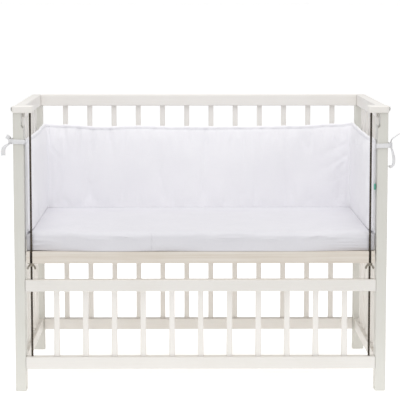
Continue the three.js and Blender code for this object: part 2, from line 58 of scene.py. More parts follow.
UV_LAYER = "cloth"
TAPE_COLUMNS = 7
POST_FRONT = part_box("post_front_left")[0].y
LOG = logging.getLogger("crib_bumper")

Colour = tuple[float, float, float]


class Axis(Enum):
    """The direction in which a timber's grain and brush marks run."""

    X = 0
    Y = 1
    Z = 2


class Hand(Enum):
    """The left or right side of the crib, seen from its open side."""

    LEFT = -1
    RIGHT = 1

    @property
    def word(self) -> str:
        """The side as the nodes' names write it."""
        return self.name.lower()


class Value:
    """A socket of a node tree that takes part in Python arithmetic."""

    def __init__(self, graph: "Graph", socket: bpy.types.NodeSocket) -> None:
        """Wraps one output socket of a node in the given graph."""
        self.graph = graph
        self.socket = socket

    def __add__(self, other: "Operand") -> "Value":
        """This plus another."""
        return self.graph.maths("ADD", self, other)

    def __radd__(self, other: "Operand") -> "Value":
        """Another plus this."""
        return self.graph.maths("ADD", other, self)

    def __sub__(self, other: "Operand") -> "Value":
        """This minus another."""
        return self.graph.maths("SUBTRACT", self, other)

    def __rsub__(self, other: "Operand") -> "Value":
        """Another minus this."""
        return self.graph.maths("SUBTRACT", other, self)

    def __mul__(self, other: "Operand") -> "Value":
        """This times another."""
        return self.graph.maths("MULTIPLY", self, other)

    def __rmul__(self, other: "Operand") -> "Value":
        """Another times this."""
        return self.graph.maths("MULTIPLY", other, self)

    def __truediv__(self, other: "Operand") -> "Value":
        """This divided by another."""
        return self.graph.maths("DIVIDE", self, other)

    def __rtruediv__(self, other: "Operand") -> "Value":
        """Another divided by this."""
        return self.graph.maths("DIVIDE", other, self)

    def __abs__(self) -> "Value":
        """This without its sign."""
        return self.graph.maths("ABSOLUTE", self)

    def sine(self) -> "Value":
        """The sine of this, in radians."""
        return self.graph.maths("SINE", self)


Operand = Value | float | Sequence[float] | bpy.types.ID


class Graph:
    """A node tree that is built one node at a time."""

    def __init__(self, tree: bpy.types.NodeTree) -> None:
        """Starts on a tree, which is emptied."""
        self.tree = tree
        tree.nodes.clear()

    def node(
        self,
        kind: str,
        settings: dict[str, object] | None = None,
        inputs: dict[str | int, Operand] | None = None,
        output: str | int = 0,
    ) -> Value | None:
        """Adds any node.

        Args:
            kind: the node's type.
            settings: the node's own settings, which are set first.
            inputs: socket name or number to a value or to a linked Value.
            output: the output socket to give back.

        Returns:
            The chosen output, or None for a node that ends the tree.
        """
        node = self.tree.nodes.new(kind)
        for key, setting in (settings or {}).items():
            setattr(node, key, setting)
        for key, operand in (inputs or {}).items():
            if isinstance(operand, Value):
                self.tree.links.new(operand.socket, node.inputs[key])
            else:
                node.inputs[key].default_value = operand
        return Value(self, node.outputs[output]) if len(node.outputs) else None

    def maths(self, operation: str, *operands: Operand) -> Value:
        """Adds one Math node on the operands, in the node's own order."""
        return self.node("ShaderNodeMath", {"operation": operation}, dict(enumerate(operands)))


class Shader(Graph):
    """A material's node tree, with the steps that the finishes share."""

    def __init__(self, name: str) -> None:
        """Makes an empty material of that name."""
        self.material = bpy.data.materials.new(name)
        self.material.use_nodes = True
        super().__init__(self.material.node_tree)

    def place(self, scale: Sequence[float] = (1, 1, 1)) -> Value:
        """Object coordinates in metres, stretched by a scale for each axis."""
        spot = self.node("ShaderNodeTexCoord", output="Object")
        return self.node("ShaderNodeMapping", {}, {"Vector": spot, "Scale": scale})

    def parts(self, vector: Value) -> tuple[Value, Value, Value]:
        """The three numbers of a vector."""
        first = self.node("ShaderNodeSeparateXYZ", {}, {"Vector": vector})
        outputs = first.socket.node.outputs
        return first, Value(self, outputs[1]), Value(self, outputs[2])

    def cloth(self) -> tuple[Value, Value]:
        """A piece's own UV map in metres: along the cloth and across it."""
        along, across, _ = self.parts(self.node("ShaderNodeUVMap", {"uv_map": UV_LAYER}))
        return along, across

    def noise(self, where: Value, scale: float, detail: float = 3.0, rough: float = 0.55) -> Value:
        """Soft noise from 0 to 1."""
        sockets = {"Vector": where, "Scale": scale, "Detail": detail, "Roughness": rough}
        return self.node("ShaderNodeTexNoise", {}, sockets)

    def ripple(self, along: Value, pitch: float) -> Value:
        """A sine from -1 to 1 that repeats at the pitch."""
        return (along * (2 * math.pi / pitch)).sine()

    def span(self, value: Value, low: float, high: float, to_low: float, to_high: float) -> Value:
        """A value eased and clamped from one range to another."""
        sockets = {0: value, 1: low, 2: high, 3: to_low, 4: to_high}
        return self.node("ShaderNodeMapRange", {"interpolation_type": "SMOOTHSTEP"}, sockets)

    def mix(self, first: Colour, second: Colour, share: Value) -> Value:
        """A colour between two colours."""
        sockets = {0: share, 6: (*first, 1.0), 7: (*second, 1.0)}
        return self.node("ShaderNodeMix", {"data_type": "RGBA"}, sockets, output=2)

    def bump(self, height: Value, depth: float, strength: float, under: Value | None = None) -> Value:
        """A normal raised by a height.

        Args:
            height: the height, where 1 stands for the depth.
            depth: in metres.
            strength: from 0 to 1.
            under: a normal that this one is laid over.

        Returns:
            The new normal.
        """
        sockets = {"Height": height, "Distance": depth, "Strength": strength}
        if under is not None:
            sockets["Normal"] = under
        return self.node("ShaderNodeBump", {}, sockets)

    def finish(self, **sockets: Operand) -> bpy.types.Material:
        """Closes the material with one Principled shader.

        Args:
            sockets: the shader's sockets, with _ for a space in a name.

        Returns:
            The finished material.
        """
        named = {key.replace("_", " "): value for key, value in sockets.items()}
        surface = self.node("ShaderNodeBsdfPrincipled", {}, named)
        self.node("ShaderNodeOutputMaterial", {}, {"Surface": surface})
        return self.material


class GeometryTree(Graph):
    """A Geometry Nodes tree with named sizes, run once on an object and kept as a plain mesh."""

    def __init__(self, name: str, sizes: dict[str, float | int]) -> None:
        """Makes a tree with one input for each size."""
        super().__init__(bpy.data.node_groups.new(name, "GeometryNodeTree"))
        self.sizes = sizes
        sockets = self.tree.interface
        sockets.new_socket("Geometry", in_out="INPUT", socket_type="NodeSocketGeometry")
        for size, value in sizes.items():
            kind = "NodeSocketInt" if isinstance(value, int) else "NodeSocketFloat"
            sockets.new_socket(size, in_out="INPUT", socket_type=kind)
        sockets.new_socket("Geometry", in_out="OUTPUT", socket_type="NodeSocketGeometry")
        self.base = self.node("NodeGroupInput")

    def size(self, name: str) -> Value:
        """One of the named sizes."""
        return Value(self, self.base.socket.node.outputs[name])

    def vector(self, x: Operand, y: Operand, z: Operand) -> Value:
        """A vector of three numbers."""
        return self.node("ShaderNodeCombineXYZ", {}, {0: x, 1: y, 2: z})

    def join(self, *pieces: Value) -> Value:
        """Several geometries as one."""
        joined = self.node("GeometryNodeJoinGeometry")
        for piece in pieces:
            self.tree.links.new(piece.socket, joined.socket.node.inputs[0])
        return joined

    def finish(self, geometry: Value, material: bpy.types.Material) -> None:
        """Ends the tree: instances made real, and the material set."""
        real = self.node("GeometryNodeRealizeInstances", {}, {0: geometry})
        dressed = self.node("GeometryNodeSetMaterial", {}, {"Geometry": real, "Material": material})
        self.node("NodeGroupOutput", {}, {0: dressed})

    def grow(self, piece: bpy.types.Object) -> bpy.types.Object:
        """Runs the tree on an object and leaves the result as its mesh.

        Args:
            piece: the object that the tree starts from.

        Returns:
            The same object, with a plain mesh and no modifier.
        """
        modifier = piece.modifiers.new(self.tree.name, "NODES")
        modifier.node_group = self.tree
        for item in self.tree.interface.items_tree:
            if item.in_out == "INPUT" and item.name in self.sizes:
                modifier[item.identifier] = self.sizes[item.name]
        depsgraph = bpy.context.evaluated_depsgraph_get()
        grown = bpy.data.meshes.new_from_object(piece.evaluated_get(depsgraph))
        piece.modifiers.remove(modifier)
        piece.data = grown
        return piece


@dataclass(frozen=True)
class PaintedWood:
    """Ivory satin paint, brushed along the grain and a little uneven."""

    name: str
    grain: Axis
    tone: Colour = (0.837, 0.814, 0.781)
    shade: Colour = (0.789, 0.759, 0.714)
    brush_width: float = 1.8 * MM
    brush_length: float = 70 * MM
    brush_depth: float = 0.08 * MM
    cloud_size: float = 130 * MM
    speck_size: float = 1.2 * MM

    def build(self) -> bpy.types.Material:
        """Makes the material for one grain direction."""
        shader = Shader(f"{self.name}_{self.grain.name.lower()}")
        stretch = [1 / (self.brush_length if axis is self.grain else self.brush_width) for axis in Axis]
        strokes = shader.noise(shader.place(stretch), 1.0, 4.0, 0.6)
        clouds = shader.noise(shader.place(), 1 / self.cloud_size)
        specks = shader.noise(shader.place(), 1 / self.speck_size, 2.0)
        share = shader.span(clouds * 0.6 + strokes * 0.4, 0.36, 0.66, 0.0, 0.6)
        return shader.finish(
            Base_Color=shader.mix(self.tone, self.shade, share),
            Roughness=shader.span(strokes + clouds * 0.5, 0.45, 1.05, 0.34, 0.50),
            IOR=1.46,
            Normal=shader.bump(strokes + specks * 0.3, self.brush_depth, 0.6),
        )


@dataclass(frozen=True)
class BareWood:
    """Pale sanded board with long, faint grain lines along X."""

    light: Colour = (0.721, 0.672, 0.608)
    dark: Colour = (0.600, 0.530, 0.444)
    line_width: float = 6 * MM
    line_length: float = 300 * MM
    pore_width: float = 0.5 * MM
    pore_length: float = 10 * MM
    pore_depth: float = 0.1 * MM
    cloud_size: float = 140 * MM

    def build(self) -> bpy.types.Material:
        """Makes the material."""
        shader = Shader("bare_wood")
        lines = (1 / self.line_length, 1 / self.line_width, 1 / self.line_width)
        pores = (1 / self.pore_length, 1 / self.pore_width, 1 / self.pore_width)
        figure = shader.noise(shader.place(lines), 1.0, 5.0, 0.6)
        fibre = shader.noise(shader.place(pores), 1.0, 2.0)
        clouds = shader.noise(shader.place(), 1 / self.cloud_size, 2.0)
        share = shader.span(figure * 0.75 + clouds * 0.25, 0.36, 0.66, 0.0, 0.65)
        flecks = shader.span(fibre, 0.58, 0.72, 0.0, 0.18)
        return shader.finish(
            Base_Color=shader.mix(self.light, self.dark, share + flecks),
            Roughness=shader.span(figure, 0.3, 0.7, 0.52, 0.68),
            Normal=shader.bump(fibre * 0.6 + figure * 0.4, self.pore_depth, 0.6),
        )


@dataclass(frozen=True)
class DarkSteel:
    """Blackened or dull steel, lighter where the black is thin."""

    name: str
    tone: Colour
    worn: Colour
    patch_size: float = 7 * MM
    grit_size: float = 0.7 * MM
    grit_depth: float = 0.05 * MM

    def build(self) -> bpy.types.Material:
        """Makes the material."""
        shader = Shader(self.name)
        patches = shader.noise(shader.place(), 1 / self.patch_size, 4.0)
        grit = shader.noise(shader.place(), 1 / self.grit_size, 2.0)
        worn = shader.span(patches, 0.45, 0.72, 0.0, 1.0)
        return shader.finish(
            Base_Color=shader.mix(self.tone, self.worn, worn),
            Metallic=0.7,
            Roughness=shader.span(patches + grit * 0.4, 0.4, 0.9, 0.36, 0.55),
            Normal=shader.bump(grit, self.grit_depth, 0.5),
        )


@dataclass(frozen=True)
class Cotton:
    """White plain-woven cotton: weave, slubs and a faint crumple."""

    name: str
    tone: Colour = (0.899, 0.892, 0.917)
    shade: Colour = (0.870, 0.863, 0.894)
    thread: float = 0.8 * MM
    weave_depth: float = 0.05 * MM
    slub_width: float = 1.6 * MM
    slub_length: float = 16 * MM
    crumple_size: float = 15 * MM
    crumple_depth: float = 1.0 * MM
    cloud_size: float = 110 * MM

    def build(self) -> bpy.types.Material:
        """Makes the material, its weave along the piece's UV map."""
        shader = Shader(self.name)
        along, across = shader.cloth()
        weave = shader.ripple(along, self.thread) * shader.ripple(across, self.thread)
        long, wide = 1 / self.slub_length, 1 / self.slub_width
        slubs = shader.noise(shader.place((long, long, wide)), 1.0) * 0.5
        slubs = slubs + shader.noise(shader.place((wide, wide, long)), 1.0) * 0.5
        crumple = shader.noise(shader.place(), 1 / self.crumple_size, 3.0, 0.5)
        clouds = shader.noise(shader.place(), 1 / self.cloud_size, 2.0)
        share = shader.span(slubs * 0.5 + clouds * 0.5 + weave * 0.03, 0.38, 0.62, 0.0, 0.7)
        soft = shader.bump(crumple, self.crumple_depth, 0.4)
        return shader.finish(
            Base_Color=shader.mix(self.tone, self.shade, share),
            Roughness=shader.span(slubs, 0.35, 0.65, 0.82, 0.95),
            Specular_IOR_Level=0.25,
            Sheen_Weight=0.12,
            Sheen_Roughness=0.5,
            Normal=shader.bump(weave + slubs * 0.8, self.weave_depth, 0.5, soft),
        )


@dataclass(frozen=True)
class WovenTape:
    """Narrow woven tape: ribs across it and a firm edge on each side."""

    name: str
    tone: Colour
    shade: Colour
    width: float
    rib: float = 0.9 * MM
    edge: float = 1.1 * MM
    rib_depth: float = 0.14 * MM
    cloud_size: float = 6 * MM

    def build(self) -> bpy.types.Material:
        """Makes the material; the UV map runs along the tape and across it."""
        shader = Shader(self.name)
        along, across = shader.cloth()
        ribs = shader.ripple(along, self.rib)
        threads = shader.ripple(across, self.rib * 0.6)
        half = self.width / 2
        firm = shader.span(abs(across - half), half - self.edge, half, 0.0, 1.0)
        clouds = shader.noise(shader.place(), 1 / self.cloud_size, 2.0)
        share = shader.span(ribs * 0.2 + clouds, 0.3, 0.8, 0.0, 1.0)
        return shader.finish(
            Base_Color=shader.mix(self.tone, self.shade, share),
            Roughness=shader.span(clouds, 0.3, 0.7, 0.72, 0.88),
            Specular_IOR_Level=0.3,
            Sheen_Weight=0.1,
            Normal=shader.bump(ribs * 0.6 + threads * 0.3 + firm * 0.8, self.rib_depth, 0.5),
        )


@dataclass(frozen=True)
class SewingThread:
    """White twisted sewing thread."""

    tone: Colour = (0.80, 0.80, 0.85)
    shade: Colour = (0.66, 0.66, 0.72)
    twist_size: float = 0.4 * MM
    twist_depth: float = 0.1 * MM

    def build(self) -> bpy.types.Material:
        """Makes the material."""
        shader = Shader("sewing_thread")
        twist = shader.noise(shader.place(), 1 / self.twist_size, 2.0)
        return shader.finish(
            Base_Color=shader.mix(self.tone, self.shade, shader.span(twist, 0.4, 0.7, 0.0, 1.0)),
            Roughness=shader.span(twist, 0.3, 0.7, 0.6, 0.8),
            Normal=shader.bump(twist, self.twist_depth, 0.5),
        )


@dataclass(frozen=True)
class StudioFloor:
    """Pale matt studio floor: lit from below behind the open side, and as pale in front of it when seen."""

    tone: Colour = (0.95, 0.95, 0.95)
    shade: Colour = (0.93, 0.93, 0.93)
    glow: float = 0.48
    glow_from: float = -1.2
    glow_full: float = -0.25
    cloud_size: float = 0.8

    def build(self) -> bpy.types.Material:
        """Makes the material."""
        shader = Shader("studio_floor")
        place = shader.place()
        clouds = shader.noise(place, 1 / self.cloud_size, 2.0)
        _, depth, _ = shader.parts(place)
        seen = shader.node("ShaderNodeLightPath", output="Is Camera Ray")
        lit = shader.maths("MAXIMUM", shader.span(depth, self.glow_from, self.glow_full, 0.0, 1.0), seen)
        return shader.finish(
            Base_Color=shader.mix(self.tone, self.shade, clouds),
            Roughness=0.9,
            Emission_Color=shader.mix((0.0, 0.0, 0.0), (1.0, 1.0, 1.0), lit),
            Emission_Strength=self.glow,
        )


def mesh_object(
    name: str,
    points: np.ndarray,
    faces: Sequence[Sequence[int]],
    uv: np.ndarray | None = None,
    edges: Sequence[tuple[int, int]] = (),
) -> bpy.types.Object:
    """Makes a smooth mesh object in the scene.

    Args:
        name: the object's name.
        points: one row of x, y, z for each vertex, in metres.
        faces: vertex numbers for each face.
        uv: one row of u, v for each vertex, or for each face corner in the faces' order.
        edges: loose edges, for a mesh that has no faces.

    Returns:
        The new object, at the origin.
    """
    mesh = bpy.data.meshes.new(name)
    mesh.from_pydata(np.asarray(points, float).tolist(), list(edges), [[int(i) for i in f] for f in faces])
    mesh.shade_smooth()
    if uv is not None:
        layer = mesh.uv_layers.new(name=UV_LAYER)
        corners = uv if len(uv) == len(mesh.loops) else uv[[loop.vertex_index for loop in mesh.loops]]
        layer.data.foreach_set("uv", np.asarray(corners, np.float32).ravel())
    mesh.update()
    piece = bpy.data.objects.new(name, mesh)
    bpy.context.scene.collection.objects.link(piece)
    return piece


def turn_outward(piece: bpy.types.Object) -> None:
    """Recalculates a closed mesh's faces so that they point out."""
    work = bmesh.new()
    work.from_mesh(piece.data)
    bmesh.ops.recalc_face_normals(work, faces=work.faces)
    work.to_mesh(piece.data)
    work.free()


def hand_over(piece: bpy.types.Object, slot: str, *stands_for: str) -> None:
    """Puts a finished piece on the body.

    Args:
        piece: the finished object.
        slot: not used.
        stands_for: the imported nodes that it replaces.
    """
    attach(piece, BODY)
    if stands_for:
        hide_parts(*stands_for)
    LOG.info("%s: %d faces", piece.name, len(piece.data.polygons))


def read_points(mesh: bpy.types.Mesh) -> np.ndarray:
    """A mesh's vertices, one row each."""
    points = np.zeros(len(mesh.vertices) * 3, np.float32)
    mesh.vertices.foreach_get("co", points)
    return points.reshape(-1, 3).astype(float)


def cloudy(x: np.ndarray, y: np.ndarray | float, seed: int) -> np.ndarray:
    """Smooth seeded noise.

    Args:
        x: first coordinate, about one unit for each bump.
        y: second coordinate.
        seed: fixes the pattern.

    Returns:
        Values from -1 to 1.
    """
    size = 97
    lattice = np.random.default_rng(seed).uniform(-1, 1, (size, size))
    x, y = np.broadcast_arrays(x, y)
    column, row = np.floor(x).astype(int), np.floor(y).astype(int)
    across, down = (t * t * t * (t * (6 * t - 15) + 10) for t in (x - column, y - row))
    near, far = (
        lattice[column % size, (row + j) % size] * (1 - across)
        + lattice[(column + 1) % size, (row + j) % size] * across
        for j in (0, 1)
    )
    return near * (1 - down) + far * down


def ease(value: np.ndarray, low: float, high: float) -> np.ndarray:
    """0 below the low limit, 1 above the high one and a smooth rise between them."""
    share = np.clip((value - low) / (high - low), 0, 1)
    return share * share * (3 - 2 * share)


def smooth_line(points: np.ndarray, steps: int) -> np.ndarray:
    """A smooth line through points.

    Args:
        points: one row for each point; columns past the third are carried along.
        steps: steps between two points.

    Returns:
        The line's points, the given ones among them.
    """
    points = np.asarray(points, float)
    padded = np.concatenate([2 * points[:1] - points[1:2], points, 2 * points[-1:] - points[-2:-1]])
    a, b, c, d = (padded[i : len(padded) - 3 + i, None] for i in range(4))
    t = (np.arange(steps) / steps)[None, :, None]
    line = 0.5 * (2 * b + (c - a) * t + (2 * a - 5 * b + 4 * c - d) * t**2 + (3 * b - a - 3 * c + d) * t**3)
    return np.concatenate([line.reshape(-1, points.shape[1]), points[-1:]])


def grid_faces(number: np.ndarray) -> np.ndarray:
    """The faces between the neighbours of a grid of vertex numbers, one in each row."""
    corners = [number[:-1, :-1], number[1:, :-1], number[1:, 1:], number[:-1, 1:]]
    return np.stack(corners, -1).reshape(-1, 4)


def beside_line(
    x: np.ndarray, y: np.ndarray, start: np.ndarray, line: np.ndarray
) -> tuple[np.ndarray, np.ndarray, np.ndarray]:
    """Where points lie beside a straight line.

    Args:
        x: the points' first coordinates.
        y: the points' second coordinates.
        start: the line's first point.
        line: the way from there to its last point.

    Returns:
        The nearest place as a share of the line, and how far the points lie from it in x and in y.
    """
    off_x, off_y = x - start[0], y - start[1]
    share = np.clip((off_x * line[0] + off_y * line[1]) / (line @ line), 0, 1)
    return share, off_x - share * line[0], off_y - share * line[1]


class Swell(NamedTuple):
    """Soft unevenness of cloth, in mm: its height, its lengths both ways, and the draw that places it."""

    height: float
    long: float
    wide: float
    draw: int

    def at(self, x: np.ndarray, y: np.ndarray | float = 0.0) -> np.ndarray:
        """Its height in mm at places in metres."""
        return self.height * cloudy(x / (self.long * MM), y / (self.wide * MM), self.draw)


@dataclass(frozen=True)
class Wadding:
    """Filling that presses a cover outwards, worked out by a short cloth simulation."""

    pressure: float
    slack: float
    limit: float
    frames: int = 14
    quality: int = 3
    thread_mass: float = 0.2
    stiffness: float = 12.0
    bending: float = 0.4

    def press(self, piece: bpy.types.Object, held: np.ndarray) -> None:
        """Lets a cover settle and keeps the result in its mesh.

        Args:
            piece: the cover, a closed mesh.
            held: for each vertex, 1 where it is stitched down and 0 where it is free.
        """
        rest = read_points(piece.data)
        pins = piece.vertex_groups.new(name="stitched")
        pins.add(np.flatnonzero(held > 0.99).tolist(), 1.0, "REPLACE")
        modifier = piece.modifiers.new("wadding", "CLOTH")
        modifier.point_cache.frame_end = self.frames + 1
        cloth = modifier.settings
        cloth.quality = self.quality
        cloth.mass = self.thread_mass
        cloth.tension_stiffness = self.stiffness
        cloth.compression_stiffness = self.stiffness
        cloth.bending_stiffness = self.bending
        cloth.vertex_group_mass = pins.name
        cloth.use_pressure = True
        cloth.uniform_pressure_force = self.pressure
        cloth.shrink_min = -self.slack
        cloth.effector_weights.gravity = 0.0
        scene = bpy.context.scene
        for number in range(1, self.frames + 1):
            scene.frame_set(number)
        settled = piece.evaluated_get(bpy.context.evaluated_depsgraph_get())
        moved = (read_points(settled.data) - rest) * (1 - held)[:, None]
        piece.modifiers.remove(modifier)
        piece.vertex_groups.remove(pins)
        scene.frame_set(1)
        far = np.linalg.norm(moved, axis=1, keepdims=True)
        kept = self.limit * np.tanh(far / self.limit) / np.maximum(far, 1e-9)
        piece.data.vertices.foreach_set("co", (rest + moved * kept).astype(np.float32).ravel())
        piece.data.update()
        LOG.info("%s: filling moved it %.1f mm at most", piece.name, 1000 * float((far * kept).max()))


class RunRow(NamedTuple):
    """One place along the bumper, in mm: its upper and lower edge, its filling and its stand-off."""

    at: float
    height: float
    low: float
    full: float
    bow: float


class Crease(NamedTuple):
    """A soft crease of the inner face, in mm: along from the middle and down from the upper edge."""

    at: float
    down: float
    to_at: float
    to_down: float
    width: float
    depth: float


@dataclass
class Bumper:
    """The padded panel round three sides: filled body, stitched rolled edges, folded corners."""

    bottom: float = 414 * MM
    corner: float = 28 * MM
    roll: float = 10 * MM
    roll_middle: float = 4.5 * MM
    upper_middle: float = 10.5 * MM
    upper_from: float = 30 * MM
    upper_full: float = 150 * MM
    roll_half: float = 3.9 * MM
    pinch_half: float = 3.5 * MM
    crown: float = 18.5 * MM
    crown_reach: float = 9 * MM
    slow_reach: float = 40 * MM
    slow_share: float = 0.3
    tucked_reach: float = 1.5 * MM
    tucked_from: float = 90 * MM
    tucked_full: float = 200 * MM
    end_reach: float = 12 * MM
    end_seam: float = 1 * MM
    end_round: float = 9 * MM
    post_reach: float = 22 * MM
    step: float = 5 * MM
    thread_lift: float = 0.2 * MM
    bow_reach: float = 126 * MM
    gather_reach: float = 7 * MM
    gather: Swell = Swell(0.45, 6.5, 30, 8)
    edge_waves: tuple[Swell, ...] = (Swell(0.9, 45, 1, 3), Swell(0.5, 17, 1, 4))
    inner_swells: tuple[Swell, ...] = (Swell(1.5, 140, 110, 5), Swell(0.7, 52, 60, 6))
    outer_swell: Swell = Swell(1.2, 120, 100, 7)
    wadding: Wadding = Wadding(pressure=2.0, slack=0.02, limit=2.5 * MM)
    edge_rows: tuple[float, ...] = (0, 0.7, 1.7, 3.3, 5, 6.6, 8, 9.1, 10, 11, 12.2, 14, 16.5, 20, 25, 31)
    end_rows: tuple[float, ...] = (0, 0.8, 1.8, 3.3, 5, 6.6, 8, 9.1, 10, 11.2, 13, 15.5, 19, 23.5, 29)
    body_rows: int = 38
    corner_steps: int = 14
    run_rows: tuple[RunRow, ...] = (
        RunRow(-990, 258, 10, 0.94, 0),
        RunRow(-890, 260, 6, 1.00, 0),
        RunRow(-700, 259, 2, 0.95, 0.6),
        RunRow(-545, 261, 0, 1.03, 0.3),
        RunRow(-458, 263, 0, 1.00, 0),
        RunRow(-400, 259, 0, 1.00, 0.2),
        RunRow(-290, 254.5, 0, 0.96, 0.8),
        RunRow(-150, 255, 0, 1.02, 1.2),
        RunRow(0, 253.5, 0, 0.97, 1.4),
        RunRow(150, 254, 0, 1.03, 1),
        RunRow(290, 256, 0, 0.98, 0.8),
        RunRow(400, 261.5, 0, 1.00, 0.2),
        RunRow(458, 265.5, 0, 1.02, 0),
        RunRow(545, 262, 0, 1.00, 0.3),
        RunRow(700, 259, 0, 0.96, 0.6),
        RunRow(890, 258, 0, 1.00, 0),
        RunRow(990, 256.5, 0, 0.94, 0),
    )
    drag_lines: tuple[Crease, ...] = (
        Crease(18, 12, 14, 120, 4, 3.6),
        Crease(-352, 12, -362, 150, 4.5, 4.0),
        Crease(-392, 12, -388, 130, 4, 3.6),
        Crease(-310, 12, -322, 135, 4.5, 3.4),
        Crease(-262, 12, -266, 105, 4, 2.8),
        Crease(428, 60, 330, 105, 6, 1.5),
        Crease(430, 95, 318, 165, 6, 1.3),
        Crease(432, 150, 352, 190, 6, 1.0),
        Crease(-434, 70, -360, 150, 6, 1.2),
        Crease(120, 236, 132, 170, 6, 1.2),
        Crease(-170, 236, -178, 180, 6, 1.0),
    )

    def __post_init__(self) -> None:
        """Takes the panel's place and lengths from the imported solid."""
        low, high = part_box("bumper")
        self.front_end = low.y
        self.wall_x, self.wall_y = high.x, high.y
        self.side_run = self.wall_y - self.corner - self.front_end
        self.corner_run = self.corner * math.pi / 2
        self.back_run = 2 * (self.wall_x - self.corner)
        self.length = 2 * (self.side_run + self.corner_run) + self.back_run

    def stations(self) -> np.ndarray:
        """Distances of the cross-sections from the front end on the left."""
        end = np.array(self.end_rows) * MM
        side = np.linspace(end[-1], self.side_run, round((self.side_run - end[-1]) / self.step) + 1)[1:]
        bend = np.linspace(self.side_run, self.side_run + self.corner_run, self.corner_steps + 1)[1:]
        half = np.concatenate([end, side, bend])
        back = np.linspace(half[-1], self.length - half[-1], round(self.back_run / self.step) + 1)[1:-1]
        return np.concatenate([half, back, (self.length - half)[::-1]])

    def wall(self, along: np.ndarray) -> tuple[np.ndarray, np.ndarray]:
        """The outer face seen from above.

        Args:
            along: distances from the front end on the left.

        Returns:
            Points in plan, and the directions into the crib there.
        """
        near = np.minimum(along, self.length - along)
        mirror = np.where(along > self.length / 2, -1.0, 1.0)
        turned = np.clip((near - self.side_run) / self.corner, 0, math.pi / 2)
        beyond = np.maximum(near - self.side_run - self.corner_run, 0)
        x = -self.wall_x + self.corner * (1 - np.cos(turned)) + beyond
        y = self.front_end + np.minimum(near, self.side_run) + self.corner * np.sin(turned)
        return np.stack([x * mirror, y], 1), np.stack([np.cos(turned) * mirror, -np.sin(turned)], 1)

    def run(self, along: np.ndarray, column: str) -> np.ndarray:
        """One column of the run table, eased between its rows."""
        places = np.array([row.at for row in self.run_rows]) * MM + self.length / 2
        values = np.array([getattr(row, column) for row in self.run_rows])
        i = np.clip(np.searchsorted(places, along) - 1, 0, len(places) - 2)
        share = np.clip((along - places[i]) / (places[i + 1] - places[i]), 0, 1)
        return values[i] + (values[i + 1] - values[i]) * share**2 * (3 - 2 * share)

    def edges(self, along: np.ndarray, from_end: np.ndarray) -> tuple[np.ndarray, np.ndarray]:
        """Heights of the lower and upper edges, rounded at the ends and a little wavy."""
        turn_in = np.maximum(self.end_round - from_end, 0)
        rounding = self.end_round - np.sqrt(np.maximum(self.end_round**2 - turn_in**2, 0))
        wave = sum(swell.at(along) for swell in self.edge_waves)
        lower = self.bottom - self.run(along, "low") * MM + 0.7 * rounding
        upper = self.bottom + (self.run(along, "height") + wave) * MM - rounding
        return lower, upper

    def row_heights(self, along: np.ndarray, lower: np.ndarray, upper: np.ndarray) -> np.ndarray:
        """Heights of every row of one face, closer at the stitched edges; a low edge has a deeper hem."""
        edge = np.array(self.edge_rows) * MM
        shares = np.linspace(0, 1, self.body_rows + 2)[1:-1]
        hang = self.run(along, "low")[:, None] * MM
        hem = lower[:, None] + edge + hang * np.minimum(edge / self.roll, 1)
        start, end = hem[:, -1:], upper[:, None] - edge[-1]
        return np.concatenate([hem, start + (end - start) * shares, upper[:, None] - edge[::-1]], 1)

    def insets(self, z: np.ndarray) -> np.ndarray:
        """How far each row lies in from the nearer long edge, by the rows' own table."""
        edge = np.array(self.edge_rows) * MM
        inset = np.minimum(z - z[:, :1], z[:, -1:] - z)
        inset[:, : len(edge)] = edge
        inset[:, -len(edge) :] = edge[::-1]
        return inset

    def section(
        self, inset: np.ndarray, tucked: np.ndarray, middle: np.ndarray
    ) -> tuple[np.ndarray, np.ndarray]:
        """How deep the outer and inner faces lie.

        Args:
            inset: distance of each point from the nearer long edge.
            tucked: how firmly the panel is tucked in beside the mattress there.
            middle: how deep the middle of the rolled edge lies there.

        Returns:
            Depths of the outer and of the inner face.
        """
        half_roll = self.roll / 2
        round_in = np.sqrt(np.clip(1 - (1 - np.minimum(inset / half_roll, 1)) ** 2, 0, 1))
        half = self.roll_half * round_in
        half += (self.pinch_half - self.roll_half) * ease(inset, half_roll, self.roll)
        reach = self.crown_reach + (self.tucked_reach - self.crown_reach) * tucked
        slow = self.slow_share * (1 - tucked)
        beyond = np.maximum(inset - self.roll, 0)
        swell = 1 - (1 - slow) * np.exp(-beyond / reach) - slow * np.exp(-beyond / self.slow_reach)
        inner = middle + half + (self.crown - middle - self.pinch_half) * swell
        return (middle - half) * (1 - swell), inner

    def end_share(self, from_end: np.ndarray) -> np.ndarray:
        """Share of the thickness near a front end, with its own stitched roll."""
        half_roll = self.roll / 2
        rising = np.sqrt(np.clip(1 - (1 - np.minimum(from_end / half_roll, 1)) ** 2, 0, 1))
        swell = 1 - np.exp(-np.maximum(from_end - self.roll, 0) / self.end_reach)
        pinched = ease(from_end, half_roll, self.roll)
        return np.minimum(0.12 + 0.30 * rising - 0.12 * pinched + 0.7 * swell, 1)

    def creases(self) -> list[Crease]:
        """The drag lines, with puckers that start at the upper and lower seams."""
        rng = np.random.default_rng(11)
        found = list(self.drag_lines)
        half = self.length / 2 / MM
        for down, reach, depth in ((11.0, (25, 120), (0.8, 2.6)), (238.0, (-70, -20), (0.3, 0.9))):
            place = 24 - half
            while place < half - 24:
                length = rng.uniform(*reach)
                lean = rng.uniform(-0.18, 0.18) * length
                found.append(
                    Crease(place, down, place + lean, down + length, rng.uniform(3, 7), rng.uniform(*depth))
                )
                place += rng.uniform(12, 38)
        for corner in (-1, 1):
            place = corner * (self.back_run + self.corner_run) / 2 / MM
            found.append(Crease(place, -60, place, 420, 5, 2.4))
        return found

